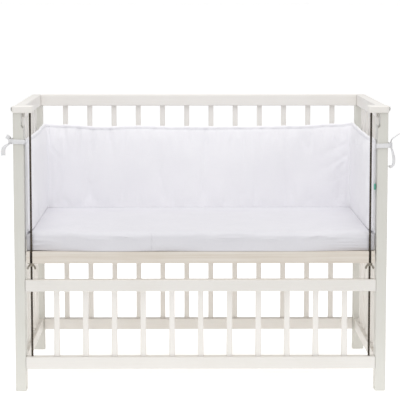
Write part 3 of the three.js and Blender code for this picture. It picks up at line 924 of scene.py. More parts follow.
    def drawn_back(self, along: np.ndarray, down: np.ndarray) -> np.ndarray:
        """How far the creases draw back each point of the inner face."""
        depth = np.zeros_like(along)
        for row in self.creases():
            start = np.array([row.at * MM + self.length / 2, row.down * MM])
            line = np.array([row.to_at - row.at, row.to_down - row.down]) * MM
            share, aside, below = beside_line(along, down, start, line)
            off = np.hypot(aside, below)
            fade = (1 - share) ** 1.5 * (1 + share)
            depth += row.depth * MM * fade * np.exp(-((off / (row.width * MM * (1 + share))) ** 2))
        return depth

    def build(self) -> bpy.types.Object:
        """Makes the filled panel, presses it out and hands it over.

        Returns:
            The padded panel as one closed object.
        """
        along = self.stations()
        from_end = np.minimum(along, self.length - along)
        lower, upper = self.edges(along, from_end)
        z = self.row_heights(along, lower, upper)
        inset = self.insets(z)
        inner, outer = self.faces(along[:, None], from_end[:, None], z, inset, upper[:, None] - z)
        plan, inward = self.wall(along)
        flat = [plan[:, None] + inward[:, None] * depth[..., None] for depth in (inner, outer)]
        inside, outside = (np.concatenate([face, z[..., None]], -1) for face in flat)
        piece = self.skin(np.concatenate([inside, outside[:, -2:0:-1]], 1), along, z)
        self.wadding.press(piece, self.held(from_end, inset).ravel())
        self.points = read_points(piece.data).reshape(len(along), -1, 3)
        self.inward = inward
        piece.data.materials.append(Cotton("bumper_cotton").build())
        hand_over(piece, "cotton", "bumper")
        return piece

    def faces(
        self, along: np.ndarray, from_end: np.ndarray, z: np.ndarray, inset: np.ndarray, down: np.ndarray
    ) -> tuple[np.ndarray, np.ndarray]:
        """Depths of the two faces, with their creases and soft unevenness.

        Args:
            along: distance of each station from the left end.
            from_end: distance of each station from the nearer end.
            z: heights of the points.
            inset: distance of each point from the nearer long edge.
            down: distance of each point from the upper edge.

        Returns:
            Depths of the inner and of the outer face from the outer plane.
        """
        tucked = ease(down, self.tucked_from, self.tucked_full)
        drawn_in = (1 - tucked) * ease(from_end, self.upper_from, self.upper_full)
        middle = self.roll_middle + (self.upper_middle - self.roll_middle) * drawn_in
        outer, inner = self.section(inset, tucked, middle)
        thick = self.end_share(from_end)
        full = np.where(inset > self.roll, 1 + (self.run(along, "full") - 1) * (1 - tucked), 1)
        bow = self.run(along, "bow") * MM * np.sin(np.minimum(inset / self.bow_reach, 1) * math.pi / 2)
        inner = self.end_seam + (inner * full - self.end_seam) * thick + bow
        outer = outer * thick + bow
        body = ease(inset, self.roll, 50 * MM) * ease(from_end, self.roll, 80 * MM)
        rolling = sum(swell.at(along, z) for swell in self.inner_swells)
        seam = np.exp(-np.abs(inset - self.roll) / self.gather_reach) * ease(inset, 4 * MM, self.roll)
        gather = self.gather.at(along, inset) * seam * (1 - tucked)
        inner = inner + (body * rolling + gather) * MM
        inner = inner - self.drawn_back(along + 0 * z, down) * ease(from_end, 10 * MM, 40 * MM)
        outer = outer + body * self.outer_swell.at(along, z) * MM
        return np.maximum(inner, outer + 0.6 * MM), outer

    def held(self, from_end: np.ndarray, inset: np.ndarray) -> np.ndarray:
        """How firmly each point of a ring is stitched down or pressed against a post."""
        free = ease(inset, self.roll + 1 * MM, 40 * MM)
        free = free * ease(from_end, self.roll + 3 * MM, 50 * MM)[:, None]
        clear = ease(from_end, self.post_reach, self.post_reach + 40 * MM)[:, None]
        return 1 - np.concatenate([free, (free * clear)[:, -2:0:-1]], 1)

    def skin(self, ring: np.ndarray, along: np.ndarray, z: np.ndarray) -> bpy.types.Object:
        """Closes the rings of points into one mesh.

        Args:
            ring: points by station and by place round the section, the inner face first.
            along: each station's distance from the left end.
            z: heights of the inner face's points.

        Returns:
            The new object, with a UV map in metres.
        """
        stations, count = ring.shape[:2]
        rows = z.shape[1]
        number = np.arange(stations * count).reshape(stations, count)
        round_section = np.concatenate([z, 2 * z[:, -1:] - z[:, -2::-1]], 1)
        turned = np.concatenate([number, number[:, :1]], 1)
        u = np.broadcast_to(along[:, None], round_section.shape)
        uv = np.stack([u, round_section], -1)
        corners = np.stack([uv[:-1, :-1], uv[1:, :-1], uv[1:, 1:], uv[:-1, 1:]], 2).reshape(-1, 2)
        faces, extra = grid_faces(turned).tolist(), []
        for station in (0, stations - 1):
            outer = number[station, [0, *range(count - 1, rows - 1, -1), rows - 1]]
            for i in range(rows - 1):
                cap = [number[station, i], number[station, i + 1], outer[i + 1], outer[i]]
                faces.append(list(dict.fromkeys(cap)))
                extra += [uv[station, i]] * len(faces[-1])
        piece = mesh_object("bumper_panel", ring.reshape(-1, 3), faces, np.concatenate([corners, extra]))
        turn_outward(piece)
        return piece

    def stitch_lines(self) -> list[np.ndarray]:
        """The lines of stitching on both faces, each as a row of points just over the cloth."""
        rows = 2 * len(self.edge_rows) + self.body_rows
        count = self.points.shape[1]
        low = self.edge_rows.index(self.roll / MM)
        first = self.end_rows.index(self.roll / MM)
        last = len(self.points) - 1 - first
        high = rows - 1 - low
        lift = np.append(self.inward, np.zeros((len(self.inward), 1)), 1)[:, None] * self.thread_lift
        lines = []
        for shifted, columns in (
            (self.points + lift, range(low, high + 1)),
            (self.points - lift, range(count - low, count - high - 1, -1)),
        ):
            span = list(columns)
            lines += [shifted[first : last + 1, column] for column in (span[0], span[-1])]
            lines += [shifted[station, span] for station in (first, last)]
        return lines


class Fold(NamedTuple):
    """A tucked fold of the sheet on the mattress's front, in mm from its middle and its underside."""

    x: float
    up: float
    to_x: float
    to_up: float
    width: float
    height: float


@dataclass
class Mattress:
    """The mattress in its fitted sheet: crowned top, rolled edges, tucked front."""

    front_corner: float = 3 * MM
    back_corner: float = 24 * MM
    side_low: float = 2 * MM
    side_high: float = 38 * MM
    foot_inset: float = 0.5 * MM
    roll_height: float = 12.6 * MM
    front_roll: float = 14 * MM
    wall_roll: float = 2 * MM
    wall_from: float = 15 * MM
    wall_full: float = 80 * MM
    wall_lift: float = 3.4 * MM
    lift_reach: float = 45 * MM
    crown: float = 4.8 * MM
    crown_reach: float = 110 * MM
    front_drop: float = 3 * MM
    drop_reach: float = 45 * MM
    front_lean: float = 1 * MM
    front_out: float = 7.5 * MM
    rod_clear: float = 6.4 * MM
    rod_from: float = 250 * MM
    rod_full: float = 445 * MM
    flare: float = 6.2 * MM
    flare_width: float = 8 * MM
    flare_to: float = 5.9 * MM
    flare_end: float = 7.6 * MM
    seam_up: float = 48.2 * MM
    seam_off: float = 0.95 * MM
    swelling: float = 10.5 * MM
    swell_reach: float = 1.5 * MM
    end_relief: float = 6 * MM
    relief_to: float = 10 * MM
    relief_end: float = 24 * MM
    seam_x: float = -130.5 * MM
    seam_step: float = 1.3 * MM
    fold_fade: float = 14 * MM
    grid: float = 7 * MM
    # The sheet's tone and shade are darker than the bumper's cotton. This is painted shade, standing in for
    # the shade on the mattress's front.
    tone: Colour = (0.710, 0.702, 0.734)
    shade: Colour = (0.678, 0.671, 0.706)
    top_swells: tuple[Swell, ...] = (Swell(1.1, 170, 120, 21), Swell(0.5, 60, 55, 22))
    slack_wave: Swell = Swell(2.6, 85, 1, 23)
    slack_swell: Swell = Swell(1.6, 34, 28, 24)
    front_swells: tuple[Swell, ...] = (Swell(0.7, 70, 30, 25), Swell(0.5, 26, 22, 26))
    edge_lines: tuple[float, ...] = (0, 0.4, 1.2, 2.4, 4, 6, 7.6, 8.8, 9.6, 10.6, 12.5, 15, 19, 24, 30)
    side_rows: tuple[float, ...] = (34.5, 31, 28, 25, 22, 19, 16.5, 14, 11.5, 9, 6.8, 4.8, 3, 1.6, 0.6, 0)
    folds: tuple[Fold, ...] = (
        Fold(450, 24, 285, 28, 3.0, 3.4),
        Fold(450, 16, 300, 19, 2.8, 3.0),
        Fold(450, 8, 340, 11, 2.6, 2.8),
        Fold(450, 31, 330, 37, 3.0, 2.8),
        Fold(-446, 30, -370, 25, 2.8, 3.0),
        Fold(-446, 15, -385, 22, 2.6, 2.8),
        Fold(95, 36, -20, 31, 3.0, 3.4),
        Fold(190, 31, 110, 37, 2.8, 3.2),
        Fold(300, 40, 258, 29, 2.4, 4.0),
        Fold(345, 35, 300, 42, 2.4, 3.6),
        Fold(-215, 40, -140, 32, 2.6, 3.6),
        Fold(-255, 31, -335, 36, 3.4, 2.4),
    )
    hem_lifts: tuple[tuple[float, float, float], ...] = (
        (-440, 40, 1.8),
        (-100, 55, 0.9),
        (440, 36, 1.4),
    )
    hem_hollows: tuple[tuple[float, float, float], ...] = (
        (-450, 55, 0.3),
        (-80, 80, 0.45),
        (450, 50, 0.2),
    )

    def __post_init__(self) -> None:
        """Takes the mattress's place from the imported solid."""
        low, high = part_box("mattress")
        self.under = low.z
        self.middle = np.array([(low.x + high.x) / 2, (low.y + high.y) / 2])
        self.half = np.array([(high.x - low.x) / 2, (high.y - low.y) / 2])

    def lines(self, half: float, extra: Sequence[float] = ()) -> np.ndarray:
        """Places of the grid's lines along one side, closer at the edges."""
        edge = np.array(self.edge_lines) * MM
        inner = half - edge[-1]
        body = np.linspace(-inner, inner, round(2 * inner / self.grid) + 1)[1:-1]
        body = body[[min([abs(place - x) for x in extra], default=1.0) > 3 * MM for place in body]]
        return np.sort(np.concatenate([edge - half, body, extra, half - edge]))

    def corner(self, flat: np.ndarray) -> np.ndarray:
        """Radius of the nearest corner, in a column for both directions."""
        return np.where(flat[..., 1:] > 0, self.back_corner, self.front_corner)

    def rounded(self, flat: np.ndarray) -> np.ndarray:
        """Moves the points of a rectangle into one with rounded corners."""
        corner = self.corner(flat)
        reach = (np.abs(flat) - (self.half - corner)) / corner
        both = (reach > 0).all(-1)[..., None]
        round_in = reach * np.sqrt(np.clip(1 - reach[..., ::-1] ** 2 / 2, 0, 1))
        moved = np.sign(flat) * (self.half - corner + corner * round_in)
        return np.where(both, moved, flat)

    def inset(self, flat: np.ndarray) -> tuple[np.ndarray, np.ndarray]:
        """Distance of points inside the outline, and the direction out of it."""
        corner = self.corner(flat)
        reach = np.abs(flat) - (self.half - corner)
        past = np.maximum(reach, 0)
        length = np.linalg.norm(past, axis=-1)
        distance = corner[..., 0] - length - np.minimum(reach.max(-1), 0)
        nearest = np.eye(2)[reach.argmax(-1)]
        out = np.where(length[..., None] > 1e-9, past / np.maximum(length, 1e-9)[..., None], nearest)
        return distance, out * np.sign(flat)

    def top(self, flat: np.ndarray) -> np.ndarray:
        """Height of the top over the underside."""
        inset, _ = self.inset(flat)
        x, y = flat[..., 0], flat[..., 1]
        from_front = y + self.half[1]
        held = ease(from_front, self.wall_from, self.wall_full)
        radius = self.front_roll + (self.wall_roll - self.front_roll) * held
        roll = np.sqrt(np.clip(1 - (1 - np.minimum(inset / radius, 1)) ** 2, 0, 1))
        from_wall = np.minimum(self.half[0] - np.abs(x), self.half[1] - y)
        lift = self.wall_lift * held * np.exp(-np.maximum(from_wall, 0) / self.lift_reach)
        drop = self.front_drop * np.exp(-np.maximum(from_front, 0) / self.drop_reach)
        height = self.side_high + (self.roll_height + lift - drop) * roll
        height = height + self.crown * (1 - np.exp(-np.maximum(inset, 0) / self.crown_reach))
        free = ease(inset, 6 * MM, 60 * MM)
        uneven = sum(swell.at(x, y) for swell in self.top_swells)
        front = ease(-y, self.half[1] - 70 * MM, self.half[1] - 4 * MM) * ease(inset, 0, 3 * MM)
        slack = self.slack_wave.at(x) + self.slack_swell.at(x, y)
        height = height + (free * uneven + front * slack) * MM
        relief = self.end_relief * (1 - ease(from_front, self.relief_to, self.relief_end))
        return np.minimum(height, self.below_bumper(inset) + relief)

    def below_bumper(self, inset: np.ndarray) -> np.ndarray:
        """Height up to which the top is clear of the swelling over the bumper's lower seam."""
        share = np.clip((inset + self.seam_off) / self.swelling, 0, 0.999)
        return self.seam_up - self.swell_reach * np.log(1 - share)

    def proud(self, x: np.ndarray, up: np.ndarray) -> np.ndarray:
        """How far the sheet's tucks stand out from the front, by place and height."""
        out = sum(swell.at(x, up) for swell in self.front_swells) * MM
        for fold in self.folds:
            start = np.array([fold.x, fold.up]) * MM
            line = np.array([fold.to_x - fold.x, fold.to_up - fold.up]) * MM
            share, along, over = beside_line(x, up, start, line)
            off = over / (fold.width * MM)
            past = np.abs(along) / self.fold_fade
            out += fold.height * MM * (1 - share) ** 0.7 * np.exp(-(off**2) - past**2)
        beyond = x - self.seam_x
        step = np.where(beyond < 0, np.exp(beyond / (45 * MM)), -0.6 * np.exp(-beyond / (6 * MM)))
        return out + self.seam_step * step * ease(up, 2 * MM, 8 * MM)

    def build(self) -> bpy.types.Object:
        """Makes the mattress and hands it over.

        Returns:
            The padded mattress as one closed object.
        """
        near_seam = self.seam_x + np.array([-5, -2, -0.6, 0.1, 0.8, 2, 5]) * MM
        lines = self.lines(self.half[0], near_seam), self.lines(self.half[1])
        flat = self.rounded(np.stack(np.meshgrid(*lines, indexing="ij"), -1))
        columns, rows = flat.shape[:2]
        number = np.arange(columns * rows).reshape(columns, rows)
        loop = np.concatenate([number[:-1, 0], number[-1, :-1], number[:0:-1, -1], number[0, :0:-1]])
        border = flat.reshape(-1, 2)[loop]
        _, out = self.inset(border)
        levels = [np.concatenate([flat.reshape(-1, 2), self.top(flat).reshape(-1, 1)], 1)]
        for up in self.side_rows:
            fall = np.clip(1 - up * MM / self.side_low, 0, 1)
            tuck = self.foot_inset * (1 - math.sqrt(1 - fall**2))
            levels.append(np.column_stack([border - out * tuck, np.full(len(border), up * MM)]))
        inset, direction = self.inset(flat)
        foot = flat - direction * (self.foot_inset * np.exp(-np.maximum(inset, 0) / (20 * MM)))[..., None]
        sole = foot[1:-1, 1:-1].reshape(-1, 2)
        levels.append(np.column_stack([sole, np.zeros(len(sole))]))
        points = np.concatenate(levels)
        self.shape_front(points)
        faces = self.skin(number, loop)
        piece = mesh_object("mattress_in_sheet", self.placed(points), faces, self.unfolded(points))
        turn_outward(piece)
        piece.data.materials.append(Cotton("sheet_cotton_painted_shade", self.tone, self.shade).build())
        hand_over(piece, "sheet", "mattress")
        return piece

    def shape_front(self, points: np.ndarray) -> None:
        """Leans the front back, pushes out its tucks and corners and lifts its hem, in place."""
        x, y, up = points.T
        _, out = self.inset(points[:, :2])
        near = ease(-y, self.half[1] - 30 * MM, self.half[1] - 1 * MM)
        facing = np.clip(-out[:, 1], 0, 1) * near
        level = ease(up, 0, 5 * MM) * (1 - ease(up, 46 * MM, 52 * MM))
        calm = 1 - 0.85 * ease(np.abs(x), 434 * MM, 447 * MM)
        lean = self.front_lean * ease(up, 14 * MM, 46 * MM) * facing
        to_rod = ease(np.abs(x), self.rod_from, self.rod_full)
        hollow = sum(share * np.exp(-(((x / MM - at) / wide) ** 2)) for at, wide, share in self.hem_hollows)
        hem = 1 - np.minimum(hollow, 1) * (1 - ease(up, 4 * MM, 20 * MM))
        shift = self.rod_clear * to_rod - self.front_out * hem * (1 - to_rod)
        deep = 1 - ease(y, -self.half[1], 90 * MM - self.half[1])
        ahead = 1 - ease(y, self.flare_to - self.half[1], self.flare_end - self.half[1])
        flare = self.flare * ease(np.abs(x), self.half[0] - self.flare_width, self.half[0]) * ahead
        lift = sum(height * np.exp(-(((x / MM - at) / wide) ** 2)) for at, wide, height in self.hem_lifts)
        points[:, 1] += lean - self.proud(x, up) * facing * level * calm + shift * deep
        points[:, 0] += np.sign(x) * flare
        points[:, 2] += lift * MM * (1 - ease(up, 0, 14 * MM)) * facing

    def placed(self, points: np.ndarray) -> np.ndarray:
        """Points about the mattress's middle, moved to its place."""
        return points + [*self.middle, self.under]

    def unfolded(self, points: np.ndarray) -> np.ndarray:
        """A UV map in metres, with the sides laid flat round the top."""
        _, out = self.inset(points[:, :2])
        return points[:, :2] + out * np.maximum(self.side_high - points[:, 2], 0)[:, None]

    def skin(self, number: np.ndarray, loop: np.ndarray) -> list[tuple[int, ...]]:
        """Faces of the top, the sides and the underside.

        Args:
            number: the top grid's vertex numbers.
            loop: the numbers round the top's border, in order.

        Returns:
            Vertex numbers for each face.
        """
        faces = grid_faces(number).tolist()
        rings = [loop]
        for i in range(len(self.side_rows)):
            rings.append(number.size + i * len(loop) + np.arange(len(loop)))
        for upper, lower in zip(rings, rings[1:]):
            ends = np.stack([upper, lower, np.roll(lower, -1), np.roll(upper, -1)], 1)
            faces += ends.tolist()
        under = np.empty_like(number)
        under.ravel()[loop] = rings[-1]
        inner = (number.shape[0] - 2, number.shape[1] - 2)
        first = number.size + len(self.side_rows) * len(loop)
        under[1:-1, 1:-1] = first + np.arange(inner[0] * inner[1]).reshape(inner)
        return faces + grid_faces(under.T).tolist()


def ribbon(name: str, path: np.ndarray, width: float, thick: float, cup: float) -> bpy.types.Object:
    """Makes a closed strip of tape along a path.

    Args:
        name: the object's name.
        path: one row for each point: x, y, z and the direction across the tape.
        width: the tape's width.
        thick: its thickness.
        cup: how far its edges curl out of its plane.

    Returns:
        The new object, with a UV map along the tape and across it.
    """
    middle, across = path[:, :3], path[:, 3:]
    tangent = np.gradient(middle, axis=0)
    tangent /= np.linalg.norm(tangent, axis=1, keepdims=True)
    across = across - tangent * (across * tangent).sum(1, keepdims=True)
    across /= np.linalg.norm(across, axis=1, keepdims=True)
    normal = np.cross(tangent, across)
    along = np.append(0, np.cumsum(np.linalg.norm(np.diff(middle, axis=0), axis=1)))
    share = np.linspace(-0.5, 0.5, TAPE_COLUMNS)
    curl = cup * (4 * share**2 - 0.5)
    flat = middle[:, None] + across[:, None] * (share * width)[:, None] + normal[:, None] * curl[:, None]
    half = normal[:, None] * (thick / 2) * np.where(np.abs(share) > 0.49, 0.55, 1.0)[:, None]
    ring = np.concatenate([flat + half, (flat - half)[:, ::-1]], 1)
    count = ring.shape[1]
    number = np.arange(len(path) * count).reshape(len(path), count)
    ahead = np.roll(number, -1, 1)
    faces = np.stack([number[:-1], ahead[:-1], ahead[1:], number[1:]], -1).reshape(-1, 4).tolist()
    for end in (0, -1):
        upper, lower = number[end, :TAPE_COLUMNS], number[end, : TAPE_COLUMNS - 1 : -1]
        faces += np.stack([upper[:-1], upper[1:], lower[1:], lower[:-1]], 1).tolist()
    place = np.concatenate([share, share[::-1]]) * width + width / 2
    uv = np.stack(np.broadcast_arrays(along[:, None], place), -1).reshape(-1, 2)
    piece = mesh_object(name, ring.reshape(-1, 3), faces, uv)
    turn_outward(piece)
    return piece


class BandPoint(NamedTuple):
    """A point of a tape round the post, in mm: out from the middle, behind the front, over the knot."""

    x: float
    y: float
    up: float


class TailPoint(NamedTuple):
    """A point of a tape's free end, in mm from the knot, with the tape's turn there in degrees."""

    out: float
    forward: float
    up: float
    turn: float


@dataclass
class Tie:
    """A tie: two woven tapes from the bumper's end, round the front post and knotted outside it."""

    hand: Hand
    knot_height: float
    low_tail: tuple[TailPoint, ...]
    high_tail: tuple[TailPoint, ...]
    width: float = 12 * MM
    thick: float = 0.8 * MM
    cup: float = 0.5 * MM
    steps: int = 6
    knot: BandPoint = BandPoint(499.5, 14, 0)
    front_band: tuple[BandPoint, ...] = (
        BandPoint(461.5, 25.6, -4),
        BandPoint(461.2, 15, -3.8),
        BandPoint(461.4, 5, -2),
        BandPoint(464.6, -1.5, -1),
        BandPoint(478, -1.7, -0.5),
        BandPoint(490, -1.6, 0),
        BandPoint(494.8, 1.5, 0),
        BandPoint(496.2, 6, 0),
    )
    back_band: tuple[BandPoint, ...] = (
        BandPoint(465.4, 49.5, -2),
        BandPoint(482, 49.5, 0),
        BandPoint(493.5, 48, 1),
        BandPoint(496, 38, 1),
        BandPoint(496.6, 26, 0),
    )
    tone: Colour = (0.80, 0.795, 0.80)
    shade: Colour = (0.70, 0.70, 0.72)

    def at(self, x: float, y: float, up: float) -> np.ndarray:
        """A point on this hand's side, from mm."""
        return np.array([self.hand.value * x * MM, POST_FRONT + y * MM, (self.knot_height + up) * MM])

    def band(self, points: Sequence[BandPoint]) -> list[np.ndarray]:
        """Path rows of a band, the tape standing upright."""
        return [np.append(self.at(*point), (0.0, 0.0, 1.0)) for point in points]

    def wrap(self, wide: float, long: float, lean: float, start: float, end: float) -> list[np.ndarray]:
        """Path rows of one turn round the knot, drawn in at its end.

        Args:
            wide: the turn's half width away from the post, in mm.
            long: its half length beside the post, in mm.
            lean: the angle of that length over the horizontal, in degrees.
            start: the angle at which the turn starts, from straight outwards, in degrees.
            end: the angle at which it ends.

        Returns:
            Rows of x, y, z and the direction across the tape.
        """
        tilt = math.radians(lean)
        rows = []
        for angle in np.linspace(start, end, 11):
            turn = math.radians(angle)
            inward = 1 - 0.45 * float(ease(np.array(angle), end - 150, end))
            side = long * inward * math.sin(turn)
            x = self.knot.x + wide * inward * math.cos(turn)
            spot = self.at(x, self.knot.y + side * math.cos(tilt), side * math.sin(tilt))
            rows.append(np.append(spot, (0.0, -math.sin(tilt), math.cos(tilt))))
        return rows

    def tail(self, points: Sequence[TailPoint]) -> list[np.ndarray]:
        """Path rows of a free end."""
        spots = np.array([self.at(self.knot.x + p.out, self.knot.y - p.forward, p.up) for p in points])
        tangents = np.gradient(spots, axis=0)
        rows = []
        for spot, tangent, point in zip(spots, tangents, points):
            axis = Vector(tangent).normalized()
            flat = Vector((0.0, -1.0, 0.0))
            across = (flat - axis * flat.dot(axis)).normalized()
            across.rotate(Quaternion(axis, math.radians(self.hand.value * point.turn)))
            rows.append(np.append(spot, across))
        return rows

    def build(self) -> None:
        """Makes both tapes and hands them over."""
        cloth = WovenTape(f"woven_tape_{self.hand.word}", self.tone, self.shade, self.width).build()
        front = self.band(self.front_band) + self.wrap(5, 6.5, 0, -100, 225) + self.tail(self.low_tail)
        back = self.band(self.back_band) + self.wrap(6.2, 7.5, -38, 95, -215) + self.tail(self.high_tail)
        for name, rows, nodes in (("front", front, [f"tie_{self.hand.word}"]), ("back", back, [])):
            path = smooth_line(np.array(rows), self.steps)
            tape = ribbon(f"tie_tape_{name}_{self.hand.word}", path, self.width, self.thick, self.cup)
            tape.data.materials.append(cloth)
            hand_over(tape, "tape", *nodes)


@dataclass
class SewnTab:
    """The small folded tab, blank, that is sewn into the bumper's end on the right."""

    thick: float = 0.6 * MM
    steps: int = 5
    loop: tuple[tuple[float, float], ...] = (
        (462.0, 25.7),
        (462.2, 20),
        (462.1, 16.6),
        (461.3, 14.7),
        (459.8, 14.1),
        (458.3, 14.8),
        (457.6, 16.6),
        (458.1, 19.5),
        (461.0, 25.7),
    )
    tone: Colour = (0.180, 0.560, 0.430)
    shade: Colour = (0.100, 0.400, 0.300)

    def build(self) -> bpy.types.Object:
        """Makes the folded ribbon and hands it over.

        Returns:
            The tab, its ends in the seam and its fold towards the open side.
        """
        low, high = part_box("sewn_tab")
        width = high.z - low.z
        middle = (low.z + high.z) / 2
        rows = [(x * MM, POST_FRONT + y * MM, middle, 0.0, 0.0, 1.0) for x, y in self.loop]
        path = smooth_line(np.array(rows), self.steps)
        tab = ribbon("sewn_tab_ribbon", path, width, self.thick, 0.0)
        tab.data.materials.append(WovenTape("tab_ribbon", self.tone, self.shade, width).build())
        hand_over(tab, "tab", "sewn_tab")
        return tab


@dataclass
class SeamStitches:
    """Lines of lock stitch along the bumper's rolled edges, laid by Geometry Nodes."""

    pitch: float = 4 * MM
    length: float = 2.9 * MM
    width: float = 0.8 * MM
    segments: int = 6
    rings: int = 4

    def build(self, lines: Sequence[np.ndarray]) -> bpy.types.Object:
        """Lays the stitches and hands them over.

        Args:
            lines: the lines to sew along, each as a row of points.

        Returns:
            All stitches as one object.
        """
        starts = np.append(0, np.cumsum([len(line) for line in lines]))
        edges = [(i, i + 1) for a, b in zip(starts, starts[1:]) for i in range(int(a), int(b) - 1)]
        piece = mesh_object("seam_stitches", np.concatenate(lines), [], edges=edges)
        sizes = {"Pitch": self.pitch, "Length": self.length, "Width": self.width}
        tree = GeometryTree("lay_stitches", sizes)
        curve = tree.node("GeometryNodeMeshToCurve", {}, {0: tree.base})
        spots = {"Curve": curve, "Length": tree.size("Pitch")}
        points = tree.node("GeometryNodeCurveToPoints", {"mode": "LENGTH"}, spots)
        tangent = Value(tree, points.socket.node.outputs["Tangent"])
        facing = tree.node("FunctionNodeAlignRotationToVector", {"axis": "X"}, {"Vector": tangent})
        bead = {"Segments": self.segments, "Rings": self.rings, "Radius": 0.5}
        stitch = tree.node("GeometryNodeMeshUVSphere", {}, bead)
        scale = tree.vector(tree.size("Length"), tree.size("Width"), tree.size("Width"))
        laid = {"Points": points, "Instance": stitch, "Rotation": facing, "Scale": scale}
        tree.finish(tree.node("GeometryNodeInstanceOnPoints", {}, laid), SewingThread().build())
        hand_over(tree.grow(piece), "cotton")
        return piece


@dataclass
class HeightRod:
    """A threaded rod that carries the mattress base, its thread cut by Geometry Nodes."""

    hand: Hand
    steel: bpy.types.Material
    pitch: float = 1.25 * MM
    ridge: float = 0.5 * MM
    turn_points: int = 10
    thread_sides: int = 4
    core_sides: int = 20

    def build(self) -> bpy.types.Object:
        """Makes the rod and hands it over.

        Returns:
            The rod with its thread as one object.
        """
        node = f"rod_{self.hand.word}"
        low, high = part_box(node)
        height = high.z - low.z
        radius = (high.x - low.x) / 2
        middle = (low + high) / 2
        piece = mesh_object(f"threaded_{node}", [tuple(middle)], [])
        run = height - 2 * self.ridge
        sizes = {"Height": height, "Radius": radius, "Ridge": self.ridge}
        sizes |= {"Run": run, "Turns": run / self.pitch}
        tree = GeometryTree(f"cut_thread_{self.hand.word}", sizes)
        bottom = radius - self.ridge
        crest = {
            "Resolution": self.turn_points,
            "Rotations": tree.size("Turns"),
            "Start Radius": tree.size("Radius") - tree.size("Ridge"),
            "End Radius": tree.size("Radius") - tree.size("Ridge"),
            "Height": tree.size("Run"),
        }
        helix = tree.node("GeometryNodeCurveSpiral", {}, crest)
        section = {"Resolution": self.thread_sides, "Radius": tree.size("Ridge")}
        profile = tree.node("GeometryNodeCurvePrimitiveCircle", {"mode": "RADIUS"}, section)
        swept = {"Curve": helix, "Profile Curve": profile, "Fill Caps": True}
        thread = tree.node("GeometryNodeCurveToMesh", {}, swept)
        foot = (middle.x, middle.y, low.z + self.ridge)
        thread = tree.node("GeometryNodeTransform", {}, {"Geometry": thread, "Translation": foot})
        bar = {"Vertices": self.core_sides, "Radius": bottom, "Depth": tree.size("Height")}
        core = tree.node("GeometryNodeMeshCylinder", {}, bar)
        core = tree.node("GeometryNodeTransform", {}, {"Geometry": core, "Translation": tuple(middle)})
        tree.finish(tree.join(core, thread), self.steel)
        hand_over(tree.grow(piece), "steel", node)
        return piece


@dataclass
class CapBolts:
    """The domed bolt heads on the outer ends of the blocks over the front posts."""

    steel: bpy.types.Material
    width: float = 13 * MM
    proud: float = 4 * MM
    behind_front: float = 24 * MM
    segments: int = 12
    rings: int = 6

    def build(self) -> bpy.types.Object:
        """Sets the bolt heads and hands them over.

        Returns:
            Both heads as one object.
        """
        spots = []
        for hand in Hand:
            low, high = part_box(f"cap_{hand.word}")
            face = high.x if hand is Hand.RIGHT else low.x
            spots.append((face, low.y + self.behind_front, (low.z + high.z) / 2))
        piece = mesh_object("cap_bolts", spots, [])
        tree = GeometryTree("set_bolts", {"Width": self.width, "Proud": self.proud})
        bead = {"Segments": self.segments, "Rings": self.rings, "Radius": 0.5}
        head = tree.node("GeometryNodeMeshUVSphere", {}, bead)
        scale = tree.vector(tree.size("Proud") * 2, tree.size("Width"), tree.size("Width"))
        points = tree.node("GeometryNodeMeshToPoints", {}, {"Mesh": tree.base})
        smooth = tree.node("GeometryNodeSetShadeSmooth", {}, {0: head})
        placed = {"Points": points, "Instance": smooth, "Scale": scale}
        tree.finish(tree.node("GeometryNodeInstanceOnPoints", {}, placed), self.steel)
        hand_over(tree.grow(piece), "steel")
        return piece


@dataclass(frozen=True)
class Arris:
    """The small rounding of a solid's edges."""

    width: float
    segments: int = 2
    angle: float = 24.0

    def soften(self, node: bpy.types.Object) -> None:
        """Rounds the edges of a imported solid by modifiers, and leaves its mesh as it is."""
        weld = node.modifiers.new("weld", "WELD")
        weld.merge_threshold = 0.01 * MM
        bevel = node.modifiers.new("arris", "BEVEL")
        bevel.width = self.width
        bevel.segments = self.segments
        bevel.limit_method = "ANGLE"
        bevel.angle_limit = math.radians(self.angle)
        shading = node.modifiers.new("shading", "WEIGHTED_NORMAL")
        shading.weight = 100


def dress(node: bpy.types.Object, material: bpy.types.Material) -> None:
    """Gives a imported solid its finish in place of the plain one."""
    node.data.materials.clear()
    node.data.materials.append(material)


@dataclass
class CribTimber:
    """The painted posts, rails, slats and blocks of the crib."""

    arris: Arris = Arris(1.0 * MM)
    # The posts' tone and shade are greyer and darker than the other timber's. The grey is their paint, and
    # part of the darkness is painted shade.
    post_tone: Colour = (0.685, 0.678, 0.633)
    post_shade: Colour = (0.647, 0.632, 0.579)
    front_tone: Colour = (0.780, 0.759, 0.725)
    front_shade: Colour = (0.735, 0.707, 0.664)
    grains: tuple[tuple[str, Axis], ...] = (
        ("post_", Axis.Z),
        ("slat_", Axis.Z),
        ("rail_top_left", Axis.Y),
        ("rail_top_right", Axis.Y),
        ("rail_low_left", Axis.Y),
        ("rail_low_right", Axis.Y),
        ("rail_", Axis.X),
        ("cap_", Axis.X),
    )

    def grain(self, name: str) -> Axis | None:
        """The grain of a node, or None for a node that isn't painted timber."""
        return next((axis for start, axis in self.grains if name.startswith(start)), None)

    def build(self) -> None:
        """Paints and softens every timber."""
        paint = {axis: PaintedWood("painted_wood", axis).build() for axis in Axis}
        post_paint_and_shade = PaintedWood("post_paint_and_shade", Axis.Z, self.post_tone, self.post_shade).build()
        front_paint = PaintedWood("front_paint", Axis.X, self.front_tone, self.front_shade).build()
        special = {"post_": post_paint_and_shade, "rail_front": front_paint, "rail_low_front": front_paint}
        count = 0
        for name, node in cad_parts.items():
            axis = self.grain(name)
            if axis is not None:
                found = [finish for start, finish in special.items() if name.startswith(start)]
                dress(node, found[0] if found else paint[axis])
                self.arris.soften(node)
                count += 1
        LOG.info("timber: %d pieces painted", count)


